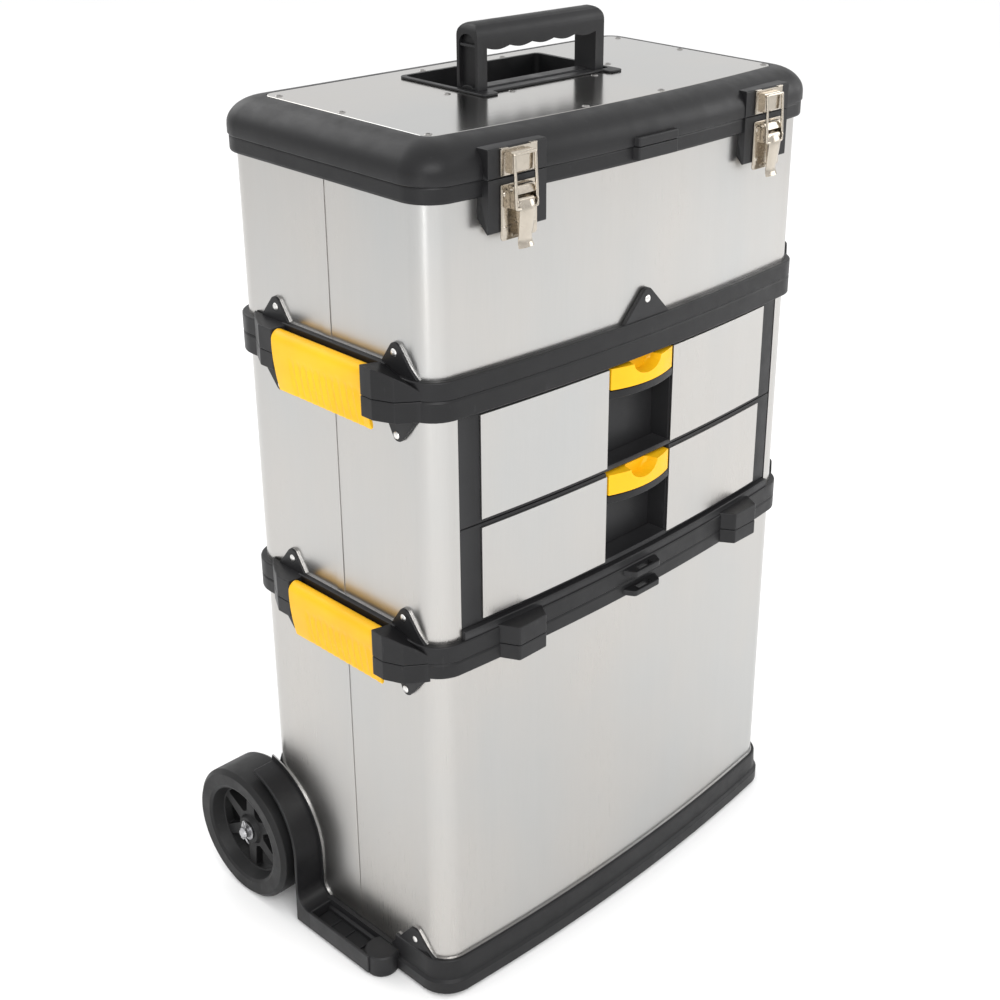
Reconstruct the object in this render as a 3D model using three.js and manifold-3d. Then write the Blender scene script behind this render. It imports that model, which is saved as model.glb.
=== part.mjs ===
// A rolling steel tool chest in three stacked sections: a wheeled bin, a unit with two drawers, and a
// toolbox with a hinged lid and a lift-out tray. Millimetres, +Z up, front towards -Y, floor at z = 0.
import * as THREE from 'three';
import { mergeVertices } from 'three/addons/utils/BufferGeometryUtils.js';
import Module from 'manifold-3d';

const wasm = await Module();
wasm.setup();

// ---- driving dimensions -------------------------------------------------------------------------
const ORIGIN_Y = 33.38; // the middle of the whole object, measured from the middle of the body

const HALF_W = 250; // steel body, half width
const FRONT = 137; // steel body, front face at its middle
const REAR = 137; // steel body, rear face
const BOW = 14.2; // how far the front face falls back at its ends
const CORNER_R = 25; // steel corner radius
const CORNER_STEPS = 5;
const STEEL = 2; // sleeve thickness
const GAP = 0.3; // clearance between touching pieces

const RIM = 6.2; // how far the plastic rims stand out from the steel
const RIM_IN = 8; // how far they reach inwards
const BASE_RIM = 8.3;
const LID_RIM = 7.4;

const BASE_BOTTOM = 4;
const BASE_TOP = 42;
const SIDE_SILL = 26; // top of the base on the two sides
const SPLIT_1 = 381; // bin / drawer unit
const SPLIT_2 = 633; // drawer unit / top box
const SPLIT_3 = 813; // top box / lid
const PLATE_TOP = 845.6; // top of the lid's steel plate

const OPENING_HALF = 222; // drawer opening, half width
const LEDGE_TOP = 406; // sill of the drawer opening
const HEADER_BOTTOM = 613.5; // underside of the rim over the drawers
const DRAWER_SPLIT = 505.5;

const WHEEL_Y = 148;
const WHEEL_Z = 73;
const WHEEL_R = 73;
const WHEEL_OUT = 290;
const WHEEL_IN = 241;
const WELL_R = 80; // inside of the wheel arch
const ARCH = 4; // thickness of the wheel arch
const ARCH_OUT = 283; // outer edge of arches and side platforms
const WELL_WALL = [236, 239.5];

const TAB_Y = [83, -82]; // middle of the rear and front riveted tabs
const LEVER_Y = [-68, 58]; // side latch lever, front and rear end
const EAR_OUT = 278; // front ears
const REAR_EAR_OUT = 271.5;
const LATCH_X = 166; // middle of the two lid latches
const LUG_X = 158; // middle of the two front lugs

const TUBE_X = 120; // pull-out handle tubes
const TUBE_Y = 158;
const HINGE_Y = 151; // lid hinge axis
const HINGE_Z = 814;
const HINGE_X = 190;

const BAIL_Y = 6.5; // lid handle pivot
const BAIL_Z = 837.5;

// ---- materials ----------------------------------------------------------------------------------
const paint = (color, roughness, metalness) => new THREE.MeshStandardMaterial({ color, roughness, metalness });
const BLACK = paint(0x2b2b2d, 0.55, 0);
const STEEL_FINISH = paint(0xc9c6c1, 0.35, 1);
const NICKEL = paint(0xcfc8bb, 0.22, 1);
const YELLOW = paint(0xf6b61c, 0.4, 0);
const TYRE = paint(0x343435, 0.6, 0);
const CHROME = paint(0xd8d8da, 0.15, 1);

// ---- solids -------------------------------------------------------------------------------------
function solid(geometry) {
  const bare = geometry.clone();
  bare.deleteAttribute('normal');
  bare.deleteAttribute('uv');
  const merged = mergeVertices(bare, 1e-4);
  const vertProperties = new Float32Array(merged.attributes.position.array);
  const triVerts = new Uint32Array(merged.index.array);
  return new wasm.Manifold(new wasm.Mesh({ numProp: 3, vertProperties, triVerts }));
}

function union(...solids) {
  return solids.flat().reduce((whole, piece) => whole.add(piece));
}

function box([x0, x1], [y0, y1], [z0, z1]) {
  const geometry = new THREE.BoxGeometry(x1 - x0, y1 - y0, z1 - z0);
  return solid(geometry.translate((x0 + x1) / 2, (y0 + y1) / 2, (z0 + z1) / 2));
}

const X = new THREE.Vector3(1, 0, 0);
const Y = new THREE.Vector3(0, 1, 0);
const Z = new THREE.Vector3(0, 0, 1);

// A round bar along an axis, between two stations, about a point given by its other two coordinates.
function rod(axis, radius, from, to, [a, b], sides = 24) {
  const geometry = new THREE.CylinderGeometry(radius, radius, to - from, sides);
  const middle = (from + to) / 2;
  if (axis === X) geometry.rotateZ(-Math.PI / 2).translate(middle, a, b);
  if (axis === Y) geometry.translate(a, middle, b);
  if (axis === Z) geometry.rotateX(Math.PI / 2).translate(a, b, middle);
  return solid(geometry);
}

const polygon = (points) => new THREE.Shape(points.map(([a, b]) => new THREE.Vector2(a, b)));

// Prisms: a shape in x,y raised along z; in y,z run along x; in x,z run towards the back along y.
function prismZ(shape, z0, z1, curveSegments = 6) {
  const geometry = new THREE.ExtrudeGeometry(shape, { depth: z1 - z0, bevelEnabled: false, curveSegments });
  return solid(geometry.translate(0, 0, z0));
}

function prismX(shape, x0, x1, curveSegments = 6) {
  const geometry = new THREE.ExtrudeGeometry(shape, { depth: x1 - x0, bevelEnabled: false, curveSegments });
  geometry.applyMatrix4(new THREE.Matrix4().makeBasis(Y, Z, X));
  return solid(geometry.translate(x0, 0, 0));
}

function prismY(shape, y0, y1, curveSegments = 6) {
  const geometry = new THREE.ExtrudeGeometry(shape, { depth: y1 - y0, bevelEnabled: false, curveSegments });
  geometry.applyMatrix4(new THREE.Matrix4().makeBasis(X, Z, Y.clone().negate()));
  return solid(geometry.translate(0, y1, 0));
}

const mirrorX = (piece) => piece.mirror([1, 0, 0]);
const both = (piece) => piece.add(mirrorX(piece));

// ---- the body outline ---------------------------------------------------------------------------
const frontY = (x, offset = 0) => -(FRONT + offset) + BOW * (x / HALF_W) ** 2;

// The plan of the body grown by an offset: three straight sides, round corners and a bowed front.
function outline(offset) {
  const r = Math.max(CORNER_R + offset, 2);
  const right = HALF_W + offset - r;
  const back = REAR + offset - r;
  const front = frontY(right, offset) + r;
  const corner = (x, y, quarter) => Array.from({ length: CORNER_STEPS + 1 }, (_, k) => {
    const angle = (quarter + k / CORNER_STEPS) * (Math.PI / 2);
    return new THREE.Vector2(x + r * Math.cos(angle), y + r * Math.sin(angle));
  });
  const bow = [-0.5, 0, 0.5].map((t) => new THREE.Vector2(t * right, frontY(t * right, offset)));
  return new THREE.Shape([
    ...corner(right, back, 0), ...corner(-right, back, 1), ...corner(-right, front, 2), ...bow, ...corner(right, front, 3),
  ]);
}

const slab = (offset, z0, z1) => prismZ(outline(offset), z0, z1);

function ring(outer, inner, z0, z1) {
  return slab(outer, z0, z1).subtract(slab(inner, z0 - 1, z1 + 1));
}

// The slot in a rim that the steel sleeve stands in.
const channel = (z0, z1) => ring(GAP, -STEEL - GAP, z0, z1);

const frontBand = (outer, inner, [x0, x1], [z0, z1]) => ring(outer, inner, z0, z1).intersect(
  box([x0, x1], [-200, -60], [z0 - 1, z1 + 1]),
);

// ---- riveted tabs, ears and lugs on the rims ----------------------------------------------------
const TAB_THICK = [GAP, 4.8];
const TIP_R = 6;

// A triangular tab with a rounded tip, drawn about u = 0 from a base line to a tip, up or down.
function tabShape(u, base, tip, half) {
  const up = Math.sign(tip - base);
  const shape = new THREE.Shape();
  shape.moveTo(u - half, base);
  shape.lineTo(u - TIP_R, tip - up * TIP_R);
  shape.quadraticCurveTo(u, tip + up * TIP_R * 0.8, u + TIP_R, tip - up * TIP_R);
  shape.lineTo(u + half, base);
  return shape;
}

function sideTabs(base, tip) {
  const tabs = TAB_Y.map((y) => prismX(tabShape(y, base, tip, 26), HALF_W + TAB_THICK[0], HALF_W + TAB_THICK[1], 4));
  return both(union(tabs));
}

function frontTab(x, base, tip) {
  const wedge = prismY(tabShape(x, base, tip, 30), -200, -100, 4);
  return ring(TAB_THICK[1], TAB_THICK[0], Math.min(base, tip), Math.max(base, tip)).intersect(wedge);
}

// The two ears at each side of a rim that the side latch turns between; the rear one is the smaller.
function ears(z0, z1, rearTop = z1) {
  const inner = HALF_W + 1;
  const front = polygon([
    [inner, LEVER_Y[0] - 0.5], [EAR_OUT, LEVER_Y[0] - 0.5], [EAR_OUT, -88], [262, -108], [inner, -116],
  ]);
  const rear = polygon([
    [inner, LEVER_Y[1] + 0.5], [inner, 112], [262, 98], [REAR_EAR_OUT, 77], [REAR_EAR_OUT, LEVER_Y[1] + 0.5],
  ]);
  const clear = ring(60, GAP, z0 - 1, z1 + 1);
  return both(union(prismZ(front, z0, z1), prismZ(rear, z0, rearTop)).intersect(clear));
}

// A front lug: wider at the wall, with flanks that slope in to its outer face.
const LUG_OUT = 21;
function lug(x, outer, halfWall, halfFace, [z0, z1]) {
  const face = frontY(x, outer);
  const [left, right] = [x - halfWall, x + halfWall];
  return prismZ(polygon([
    [left, frontY(left, 2)], [x - halfFace, face], [x + halfFace, face], [right, frontY(right, 2)],
  ]), z0, z1);
}

const frontLugs = (zs) => union([-LUG_X, LUG_X].map((x) => lug(x, LUG_OUT, 28, 17, zs)));

function padlockEye([z0, z1]) {
  const hole = box([-10, 10], [frontY(0, 13.5), frontY(0, 9)], [z0 - 1, z1 + 1]);
  return lug(0, 17, 26, 18, [z0, z1]).subtract(hole);
}

// ---- bin ----------------------------------------------------------------------------------------
// What the wheels need free: the inside of the arch, open below and to the rear.
function wheelSpace(radius, frontEdge, inner) {
  const round = rod(X, radius, inner, 320, [WHEEL_Y, WHEEL_Z], 48);
  return both(union(round, box([inner, 320], [frontEdge, WHEEL_Y + 60], [-10, WHEEL_Z])));
}

function wheelArch() {
  const outer = WELL_R + ARCH;
  const wallY = WHEEL_Y - outer;
  const top = THREE.MathUtils.degToRad(100);
  const fillet = 18;
  const shape = new THREE.Shape();
  shape.absarc(WHEEL_Y, WHEEL_Z, outer, top, Math.PI, false);
  shape.lineTo(wallY, SIDE_SILL + fillet);
  shape.absarc(wallY - fillet, SIDE_SILL - 1 + fillet, fillet, 0, -Math.PI / 2, true);
  shape.lineTo(wallY - fillet, BASE_BOTTOM);
  shape.lineTo(wallY + ARCH, BASE_BOTTOM);
  shape.lineTo(wallY + ARCH, WHEEL_Z);
  shape.absarc(WHEEL_Y, WHEEL_Z, WELL_R, Math.PI, top, true);
  const arch = prismX(shape, HALF_W - 14, ARCH_OUT);
  const reach = REAR + BASE_RIM;
  const limits = box([0, 300], [0, reach], [BASE_BOTTOM, 200]);
  const inside = box([HALF_W - 20, HALF_W + GAP], [0, wallY - 0.1], [BASE_BOTTOM - 1, 200]);
  const behind = union(
    rod(X, outer, ...WELL_WALL, [WHEEL_Y, WHEEL_Z], 48).intersect(limits),
    box(WELL_WALL, [wallY, reach], [BASE_BOTTOM, WHEEL_Z]),
    rod(X, 16, ...WELL_WALL, [WHEEL_Y, WHEEL_Z]),
  );
  return arch.subtract(inside).add(behind);
}

function sidePlatform() {
  const deck = [-40, WHEEL_Y - WELL_R];
  const outside = [HALF_W + 2, ARCH_OUT];
  const block = box(outside, deck, [BASE_BOTTOM, SIDE_SILL - 1]);
  const under = box([HALF_W + BASE_RIM, ARCH_OUT - 4], [deck[0] - 20, deck[1] - 5], [0, SIDE_SILL - 5]);
  const foot = rod(Z, 17, 0, SIDE_SILL - 1, [ARCH_OUT - 19, -45.5], 20)
    .subtract(box([0, HALF_W + 2], [-90, 0], [BASE_BOTTOM, 100]));
  return block.subtract(under).add(foot);
}

const AXLE_R = 6;
function base() {
  const shell = slab(BASE_RIM, BASE_BOTTOM, BASE_TOP)
    .subtract(slab(-7, 14, BASE_TOP + 1))
    .subtract(slab(-3, 0, 8))
    .subtract(channel(15, BASE_TOP + 1));
  const sills = both(box([HALF_W + 0.1, 300], [-60, 75], [SIDE_SILL, BASE_TOP + 1]));
  const boss = box([206, 237], [REAR + 0.5, WHEEL_Y + 13], [BASE_BOTTOM, WHEEL_Z + 16]);
  const bore = rod(X, AXLE_R + GAP, -300, 300, [WHEEL_Y, WHEEL_Z]);
  return shell
    .subtract(sills)
    .subtract(wheelSpace(WELL_R, WHEEL_Y - WELL_R, WELL_WALL[1]))
    .add(both(union(wheelArch(), sidePlatform(), boss)))
    .add(both(prismX(tabShape(TAB_Y[1] - 2, SIDE_SILL, 63, 36), HALF_W + GAP, HALF_W + 5, 4)))
    .subtract(bore);
}

const BIN_STEEL = [15 + GAP, 372];
function binSleeve() {
  return ring(0, -STEEL, ...BIN_STEEL)
    .subtract(wheelSpace(WELL_R + ARCH + 0.4, WHEEL_Y - WELL_R - ARCH - 0.4, WELL_WALL[0] - 0.5));
}

const RIM_1 = [365.5, SPLIT_1 - GAP / 2];
function binTopRim() {
  return ring(RIM, -RIM_IN, ...RIM_1)
    .subtract(channel(RIM_1[0] - 1, BIN_STEEL[1] + 0.4))
    .add(ears(SPLIT_1 - 22, RIM_1[1]))
    .add(sideTabs(RIM_1[0] + 1, SPLIT_1 - 46))
    .add(frontLugs([RIM_1[0], RIM_1[1]]))
    .add(padlockEye([SPLIT_1 - 13, SPLIT_1 - 7]));
}

const AXLE_END = 288.5;
const HUB_OUT = WHEEL_OUT - 10;
const axle = () => rod(X, AXLE_R, -AXLE_END, AXLE_END, [WHEEL_Y, WHEEL_Z], 20);
const washer = () => rod(X, 10, HUB_OUT + 0.4, HUB_OUT + 2, [WHEEL_Y, WHEEL_Z], 20)
  .subtract(rod(X, AXLE_R + GAP, 200, 310, [WHEEL_Y, WHEEL_Z], 20));

// A split pin stands just outside the washer, bent over at its foot.
function cotterPin() {
  const x = HUB_OUT + 4.5;
  const shank = rod(Z, 1.4, WHEEL_Z + AXLE_R + GAP, WHEEL_Z + 13, [x, WHEEL_Y], 8);
  const eye = rod(X, 3.5, x - 1.2, x + 1.2, [WHEEL_Y, WHEEL_Z + 14], 12);
  return shank.add(eye);
}

const TREAD_EDGE = 4;
function wheel() {
  const webOut = WHEEL_OUT - 14;
  const webIn = webOut - 8;
  const profile = [
    [AXLE_R + GAP, WHEEL_IN], [14, WHEEL_IN], [16, webIn], [54, webIn], [56, WHEEL_IN], [WHEEL_R - TREAD_EDGE, WHEEL_IN],
    [WHEEL_R, WHEEL_IN + TREAD_EDGE], [WHEEL_R, WHEEL_OUT - TREAD_EDGE], [WHEEL_R - TREAD_EDGE, WHEEL_OUT],
    [53, WHEEL_OUT], [50, webOut], [16, webOut], [14, HUB_OUT], [AXLE_R + GAP, HUB_OUT], [AXLE_R + GAP, WHEEL_IN],
  ].map(([r, x]) => new THREE.Vector2(r, x));
  const turned = new THREE.LatheGeometry(profile, 32).rotateZ(-Math.PI / 2);
  const window = polygon([[19, -5], [46, -17], [48, 0], [46, 17], [19, 5]]);
  const holes = Array.from({ length: 6 }, (_, k) => prismX(window, webIn - 1, webOut + 1).rotate([60 * k + 15, 0, 0]));
  return solid(turned).subtract(union(holes)).translate([0, WHEEL_Y, WHEEL_Z]);
}

// ---- pull-out handle ----------------------------------------------------------------------------
const GUIDE = { r: 11, z: [82, 560] };
const guideTube = (x) => rod(Z, GUIDE.r, ...GUIDE.z, [x, TUBE_Y], 20)
  .subtract(rod(Z, GUIDE.r - 1.5, GUIDE.z[0] + 12, GUIDE.z[1] + 1, [x, TUBE_Y], 20));
const INNER_TUBE = { r: 9, z: [100, 770] };
const innerTube = (x) => rod(Z, INNER_TUBE.r, ...INNER_TUBE.z, [x, TUBE_Y], 20);

function handleBracket([z0, z1], wall) {
  const halfSpan = TUBE_X + 20;
  const block = box([-halfSpan, halfSpan], [wall + GAP, wall + 5], [z0, z1]);
  const clamps = [-TUBE_X, TUBE_X].map((x) => union(
    rod(Z, GUIDE.r + 4, z0, z1, [x, TUBE_Y], 20),
    box([x - 15, x + 15], [wall + GAP, TUBE_Y], [z0, z1]),
  ));
  const bores = [-TUBE_X, TUBE_X].map((x) => rod(Z, GUIDE.r + GAP, z0 - 1, z1 + 1, [x, TUBE_Y], 20));
  return union(block, clamps).subtract(union(bores));
}

const GRIP_Z = [758, 794];
function trolleyGrip() {
  const ends = [-TUBE_X, TUBE_X].map((x) => rod(Z, 12, GRIP_Z[0], GRIP_Z[1] - 4, [x, TUBE_Y], 20));
  const bar = prismX(roundedRect(TUBE_Y, (GRIP_Z[0] + GRIP_Z[1]) / 2 + 6, 24, 24, 9), -TUBE_X, TUBE_X, 2);
  const sockets = [-TUBE_X, TUBE_X].map((x) => rod(Z, INNER_TUBE.r + GAP, GRIP_Z[0] - 1, INNER_TUBE.z[1] + GAP, [x, TUBE_Y], 20));
  const buttonSlot = box([-16.5, 16.5], [TUBE_Y - 6.5, TUBE_Y + 6.5], [GRIP_Z[1] - 10, GRIP_Z[1] + 1]);
  return union(bar, ends).subtract(union(sockets)).subtract(buttonSlot);
}

const releaseButton = () => prismZ(roundedRect(0, TUBE_Y, 32, 12, 4), GRIP_Z[1] - 5, GRIP_Z[1] + 2, 3);

function roundedRect(u, v, width, height, r) {
  const [w, h] = [width / 2 - r, height / 2 - r];
  const shape = new THREE.Shape();
  shape.absarc(u + w, v + h, r, 0, Math.PI / 2, false);
  shape.absarc(u - w, v + h, r, Math.PI / 2, Math.PI, false);
  shape.absarc(u - w, v - h, r, Math.PI, 1.5 * Math.PI, false);
  shape.absarc(u + w, v - h, r, 1.5 * Math.PI, 2 * Math.PI, false);
  return shape;
}

// ---- drawer unit --------------------------------------------------------------------------------
const openFront = (half, z0, z1) => box([-half, half], [-200, -60], [z0, z1]);

const CASE_STEEL = [385 + GAP, 622];
function caseSleeve() {
  return ring(0, -STEEL, ...CASE_STEEL).subtract(openFront(OPENING_HALF, 0, 900));
}

// The upper half of a joint's side: raised sill between the tabs, ears and riveted tabs.
function upperSides(split) {
  const raised = both(box([HALF_W + GAP, HALF_W + RIM], [LEVER_Y[0] - 2, LEVER_Y[1] + 2], [split + 10, split + 24]));
  return union(
    ears(split + GAP / 2, split + 28, split + 22.5),
    sideTabs(split + 16, split + 41),
    raised,
  );
}

const RIM_2 = [SPLIT_1 + GAP / 2, 398];
function drawerUnitLowerRim() {
  const sill = frontBand(4.2, -RIM_IN, [-OPENING_HALF + GAP, OPENING_HALF - GAP], [RIM_2[1] - 1, LEDGE_TOP]);
  const steelSlot = channel(CASE_STEEL[0] - GAP, RIM_2[1] + 30).subtract(openFront(OPENING_HALF - GAP, 0, 900));
  return ring(RIM, -RIM_IN, ...RIM_2)
    .add(slab(-RIM_IN + 1, RIM_2[0], RIM_2[0] + 3))
    .subtract(steelSlot)
    .add(sill)
    .add(upperSides(SPLIT_1))
    .add(frontLugs([RIM_2[0], 400]))
    .add(padlockEye([SPLIT_1 + 8, SPLIT_1 + 14]));
}

const RIM_3 = [HEADER_BOTTOM, SPLIT_2 - GAP / 2];
function drawerUnitUpperRim() {
  const steelSlot = channel(RIM_3[0] - 1, CASE_STEEL[1] + 0.4).subtract(openFront(OPENING_HALF - GAP, 0, 900));
  return ring(RIM, -RIM_IN, ...RIM_3)
    .add(slab(-RIM_IN + 1, RIM_3[1] - 4, RIM_3[1] - 1))
    .subtract(steelSlot)
    .add(ears(SPLIT_2 - 22, RIM_3[1]))
    .add(sideTabs(RIM_3[0] + 1, SPLIT_2 - 46));
}

// Inside walls, back and shelf that the drawers run between.
const RUN_HALF = 208;
function drawerFrame() {
  const z = [RIM_2[0] + 3 + GAP, HEADER_BOTTOM + 15];
  const walls = both(box([RUN_HALF, RUN_HALF + 3], [-112, 122], z));
  const back = box([-RUN_HALF - 1, RUN_HALF + 1], [119, 122], z);
  const shelf = box([-RUN_HALF - 1, RUN_HALF + 1], [-96, 120], [DRAWER_SPLIT - 3, DRAWER_SPLIT]);
  const rails = both(union([LEDGE_TOP, DRAWER_SPLIT + 1].map((zr) => box([RUN_HALF - 4, RUN_HALF + 1], [-112, 120], [zr - 3, zr]))));
  return union(walls, back, shelf, rails);
}

const DRAWERS = {
  lower: [LEDGE_TOP + 1, DRAWER_SPLIT - 0.3],
  upper: [DRAWER_SPLIT + 0.7, HEADER_BOTTOM - 1],
};
const FRONT_HALF = OPENING_HALF - 0.8;
const BAY_HALF = 45; // recess in the middle of each drawer front
const PULL_HALF = 43;
const PULL_HEIGHT = 21;
const pullZ = ([, top]) => [top - 3 - PULL_HEIGHT, top - 3];

// The plan of the pull: bulged outer face, straight back.
function pullPlan(half, bulge, back) {
  const shape = new THREE.Shape();
  shape.moveTo(-half, back);
  shape.lineTo(-half, frontY(half, 1));
  shape.quadraticCurveTo(0, 2 * frontY(0, bulge) - frontY(half, 1), half, frontY(half, 1));
  shape.lineTo(half, back);
  return shape;
}

function drawerTub([z0, z1]) {
  const side = RUN_HALF - 0.7;
  const tubTop = z0 + 74;
  const [pull0] = pullZ([z0, z1]);
  const panel = frontBand(-0.6, -9, [-FRONT_HALF, FRONT_HALF], [z0, z1]);
  const tub = box([-side, side], [-118, 114], [z0 + 0.5, tubTop])
    .subtract(box([-side + 3, side - 3], [-98, 111], [z0 + 3.5, tubTop + 1]));
  const centre = box([-BAY_HALF - 6, BAY_HALF + 6], [-128, -98], [z0 + 0.5, z1 - 0.5]);
  const bay = box([-BAY_HALF, BAY_HALF], [-160, -112], [z0 + 5, pull0 - 9]);
  const pullSpace = box([-BAY_HALF, BAY_HALF], [-160, -116], [pull0 - 1, z1 + 1]);
  const lip = prismZ(pullPlan(PULL_HALF + 1, 7.5, -128), pull0 - 9, pull0 - 1);
  const underCut = both(box([BAY_HALF + 10, side - 3], [-113, -100], [z0 - 1, tubTop - 3]));
  return union(panel, tub, centre).subtract(bay).subtract(pullSpace).subtract(underCut).add(lip);
}

function drawerPlate([z0, z1], side) {
  const xs = side < 0 ? [-198.5, -BAY_HALF - 0.5] : [BAY_HALF + 0.5, 198.5];
  return frontBand(0.9, -0.3, xs, [z0 + 3.5, z1 - 3.5]);
}

// The yellow pull: a bulged lip with a finger scoop, hinged along its lower edge.
function drawerPull(drawer) {
  const [z0, z1] = pullZ(drawer);
  const body = prismZ(pullPlan(PULL_HALF, 9, -127), z0, z1);
  const scoop = rod(Y, 20, -170, -133, [0, z1 + 8], 32);
  const hollow = box([-PULL_HALF + 3, PULL_HALF - 3], [-133, -120], [z0 - 1, z1 - 5]);
  const tongue = box([-14, 14], [-130, -117], [z1 - 6, z1 - 3]);
  return body.subtract(scoop).subtract(hollow).add(tongue);
}

// ---- side latches -------------------------------------------------------------------------------
const LEVER_AXIS = { x: 265, up: 13 }; // up from the split line
const LEVER_HEAD = 7.8;
const LEVER_DROP = 48;
function sideLever(split) {
  const { x, up } = LEVER_AXIS;
  const cover = new THREE.Shape();
  cover.moveTo(x + LEVER_HEAD, 0);
  cover.quadraticCurveTo(x + 10.2, -22, x + 2, -LEVER_DROP);
  cover.lineTo(x - 0.6, -LEVER_DROP + 0.8);
  cover.quadraticCurveTo(x + 6.8, -22, x + 3, -1);
  const hook = polygon([[x - 7, -32], [x - 7, -35], [x + 5, -35], [x + 5, -32]]);
  const head = rod(Y, LEVER_HEAD, ...LEVER_Y, [x, 0], 20);
  const bore = rod(Y, 3.3, LEVER_Y[0] - 1, LEVER_Y[1] + 1, [x, 0], 12);
  return union(prismY(cover, ...LEVER_Y, 5), head, prismY(hook, -22, 12)).subtract(bore).translate([0, 0, split + up]);
}

const sidePin = (split) => rod(Y, 3, LEVER_Y[0] - 12, LEVER_Y[1] + 12, [LEVER_AXIS.x, split + LEVER_AXIS.up], 12);
const pinBores = (split) => both(
  rod(Y, 3.3, LEVER_Y[0] - 12.5, LEVER_Y[1] + 12.5, [LEVER_AXIS.x, split + LEVER_AXIS.up], 12),
);

// ---- top box ------------------------------------------------------------------------------------
const BOX_STEEL = [637 + GAP, 804];
const RIM_4 = [SPLIT_2 + GAP / 2, 649.7];
function topBoxBase() {
  return slab(RIM, ...RIM_4)
    .subtract(slab(-RIM_IN, RIM_4[0] + 3.2, RIM_4[1] + 1))
    .subtract(channel(BOX_STEEL[0] - GAP, RIM_4[1] + 30))
    .add(upperSides(SPLIT_2))
    .add(frontTab(0, RIM_4[1] - 1, SPLIT_2 + 44))
    .subtract(pinBores(SPLIT_2));
}

const topBoxSleeve = () => ring(0, -STEEL, ...BOX_STEEL);

// The raised pad behind a lid latch: a flat face, and an underside that slopes down to it.
const PAD_HALF = 33;
const PAD_FACE = frontY(LATCH_X, 10.5);
const PAD_BODY = -124; // just inside the wall behind the pad
function latchPad(x, [z0, z1], slope) {
  const side = polygon([[PAD_FACE, z0], [PAD_FACE, z1], [PAD_BODY, z1], [PAD_BODY, z0 + slope]]);
  return prismX(side, x - PAD_HALF, x + PAD_HALF);
}

const RIM_5 = [798.6, SPLIT_3 - GAP / 2];
const TRAY_LEDGE = 768;
function hingeKnuckle(x0, x1, down) {
  const web = down
    ? box([x0, x1], [REAR + 2, HINGE_Y], [SPLIT_3 - 8, SPLIT_3 - 2])
    : box([x0, x1], [REAR + 2, HINGE_Y], [SPLIT_3 + 2.5, SPLIT_3 + 6]);
  return union(rod(X, 5, x0, x1, [HINGE_Y, HINGE_Z], 16), web).subtract(rod(X, 2.3, x0 - 1, x1 + 1, [HINGE_Y, HINGE_Z], 12));
}

function topBoxTopRim() {
  const pads = union([-LATCH_X, LATCH_X].map((x) => latchPad(x, [767, RIM_5[1]], 14)));
  const knuckles = both(union(
    hingeKnuckle(HINGE_X - 32, HINGE_X - 12, true),
    hingeKnuckle(HINGE_X + 12, HINGE_X + 32, true),
  ));
  const lidClear = both(box([HINGE_X - 11.5, HINGE_X + 11.5], [REAR + 2, 170], [SPLIT_3 - 8, 900]));
  return ring(RIM, -RIM_IN, ...RIM_5)
    .subtract(channel(RIM_5[0] - 1, BOX_STEEL[1] + 0.4))
    .add(ring(-STEEL - GAP, -RIM_IN, TRAY_LEDGE - 6, RIM_5[0] + 1))
    .add(ring(-STEEL - GAP, -16, TRAY_LEDGE - 6, TRAY_LEDGE))
    .add(pads.subtract(slab(GAP, 700, 900)))
    .add(lug(0, 12, 29, 26, [801, RIM_5[1]]))
    .add(knuckles)
    .subtract(lidClear.intersect(box([-300, 300], [HINGE_Y - 6, 170], [0, 900])));
}

// ---- lid latches --------------------------------------------------------------------------------
// Distances in front of the metal plate's face are called out; heights are above the floor.
const PLATE = 1.4;
const LATCH_FACE = PAD_FACE - GAP - PLATE;
const LATCH_HALF = 20.5;
const LEVER = { out: 5, z: 793, r: 4.2, half: 7.5 };
const LOOP = { out: 9, z: 786, topOut: 6.4, topZ: 834.5, r: 1.5, half: 14 };
const CHEEK = [10.5, 12];
const at = (out) => LATCH_FACE - out;
const latchBar = (x, half, r, out, z, sides) => rod(X, r, x - half, x + half, [at(out), z], sides);

function latchBase(x) {
  const plate = box([x - LATCH_HALF, x + LATCH_HALF], [at(0), at(-PLATE)], [761.5, 808]);
  const hood = box([x - CHEEK[1], x + CHEEK[1]], [at(7.5), at(-PLATE + 0.2)], [799.5, 807]);
  const side = new THREE.Shape();
  side.moveTo(at(-0.5), 800);
  side.lineTo(at(7.5), 800);
  side.absarc(at(LEVER.out), LEVER.z, 5.5, Math.PI - 0.3, 1.5 * Math.PI, false);
  side.lineTo(at(-0.5), LEVER.z - 5.5);
  const cheeks = union([-CHEEK[1], CHEEK[0]].map((from) => prismX(side, x + from, x + from + CHEEK[1] - CHEEK[0], 3)));
  return union(plate, hood, cheeks).subtract(latchBar(x, 20, 2.1, LEVER.out, LEVER.z, 10));
}

function latchLever(x) {
  const side = polygon([
    [at(9.2), LEVER.z], [at(11.3), 786], [at(9.5), 773], [at(8), 760.5], [at(9.5), 754.5],
    [at(7.8), 754.5], [at(6), 760.5], [at(7), 773], [at(5), 782], [at(5), LEVER.z],
  ]);
  const body = prismX(side, x - LEVER.half, x + LEVER.half);
  const head = latchBar(x, LEVER.half, LEVER.r, LEVER.out, LEVER.z, 16);
  const pin = latchBar(x, CHEEK[1] + 0.7, 1.7, LEVER.out, LEVER.z, 10);
  return union(body, head, pin).subtract(latchBar(x, 20, LOOP.r + GAP, LOOP.out, LOOP.z, 10));
}

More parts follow.
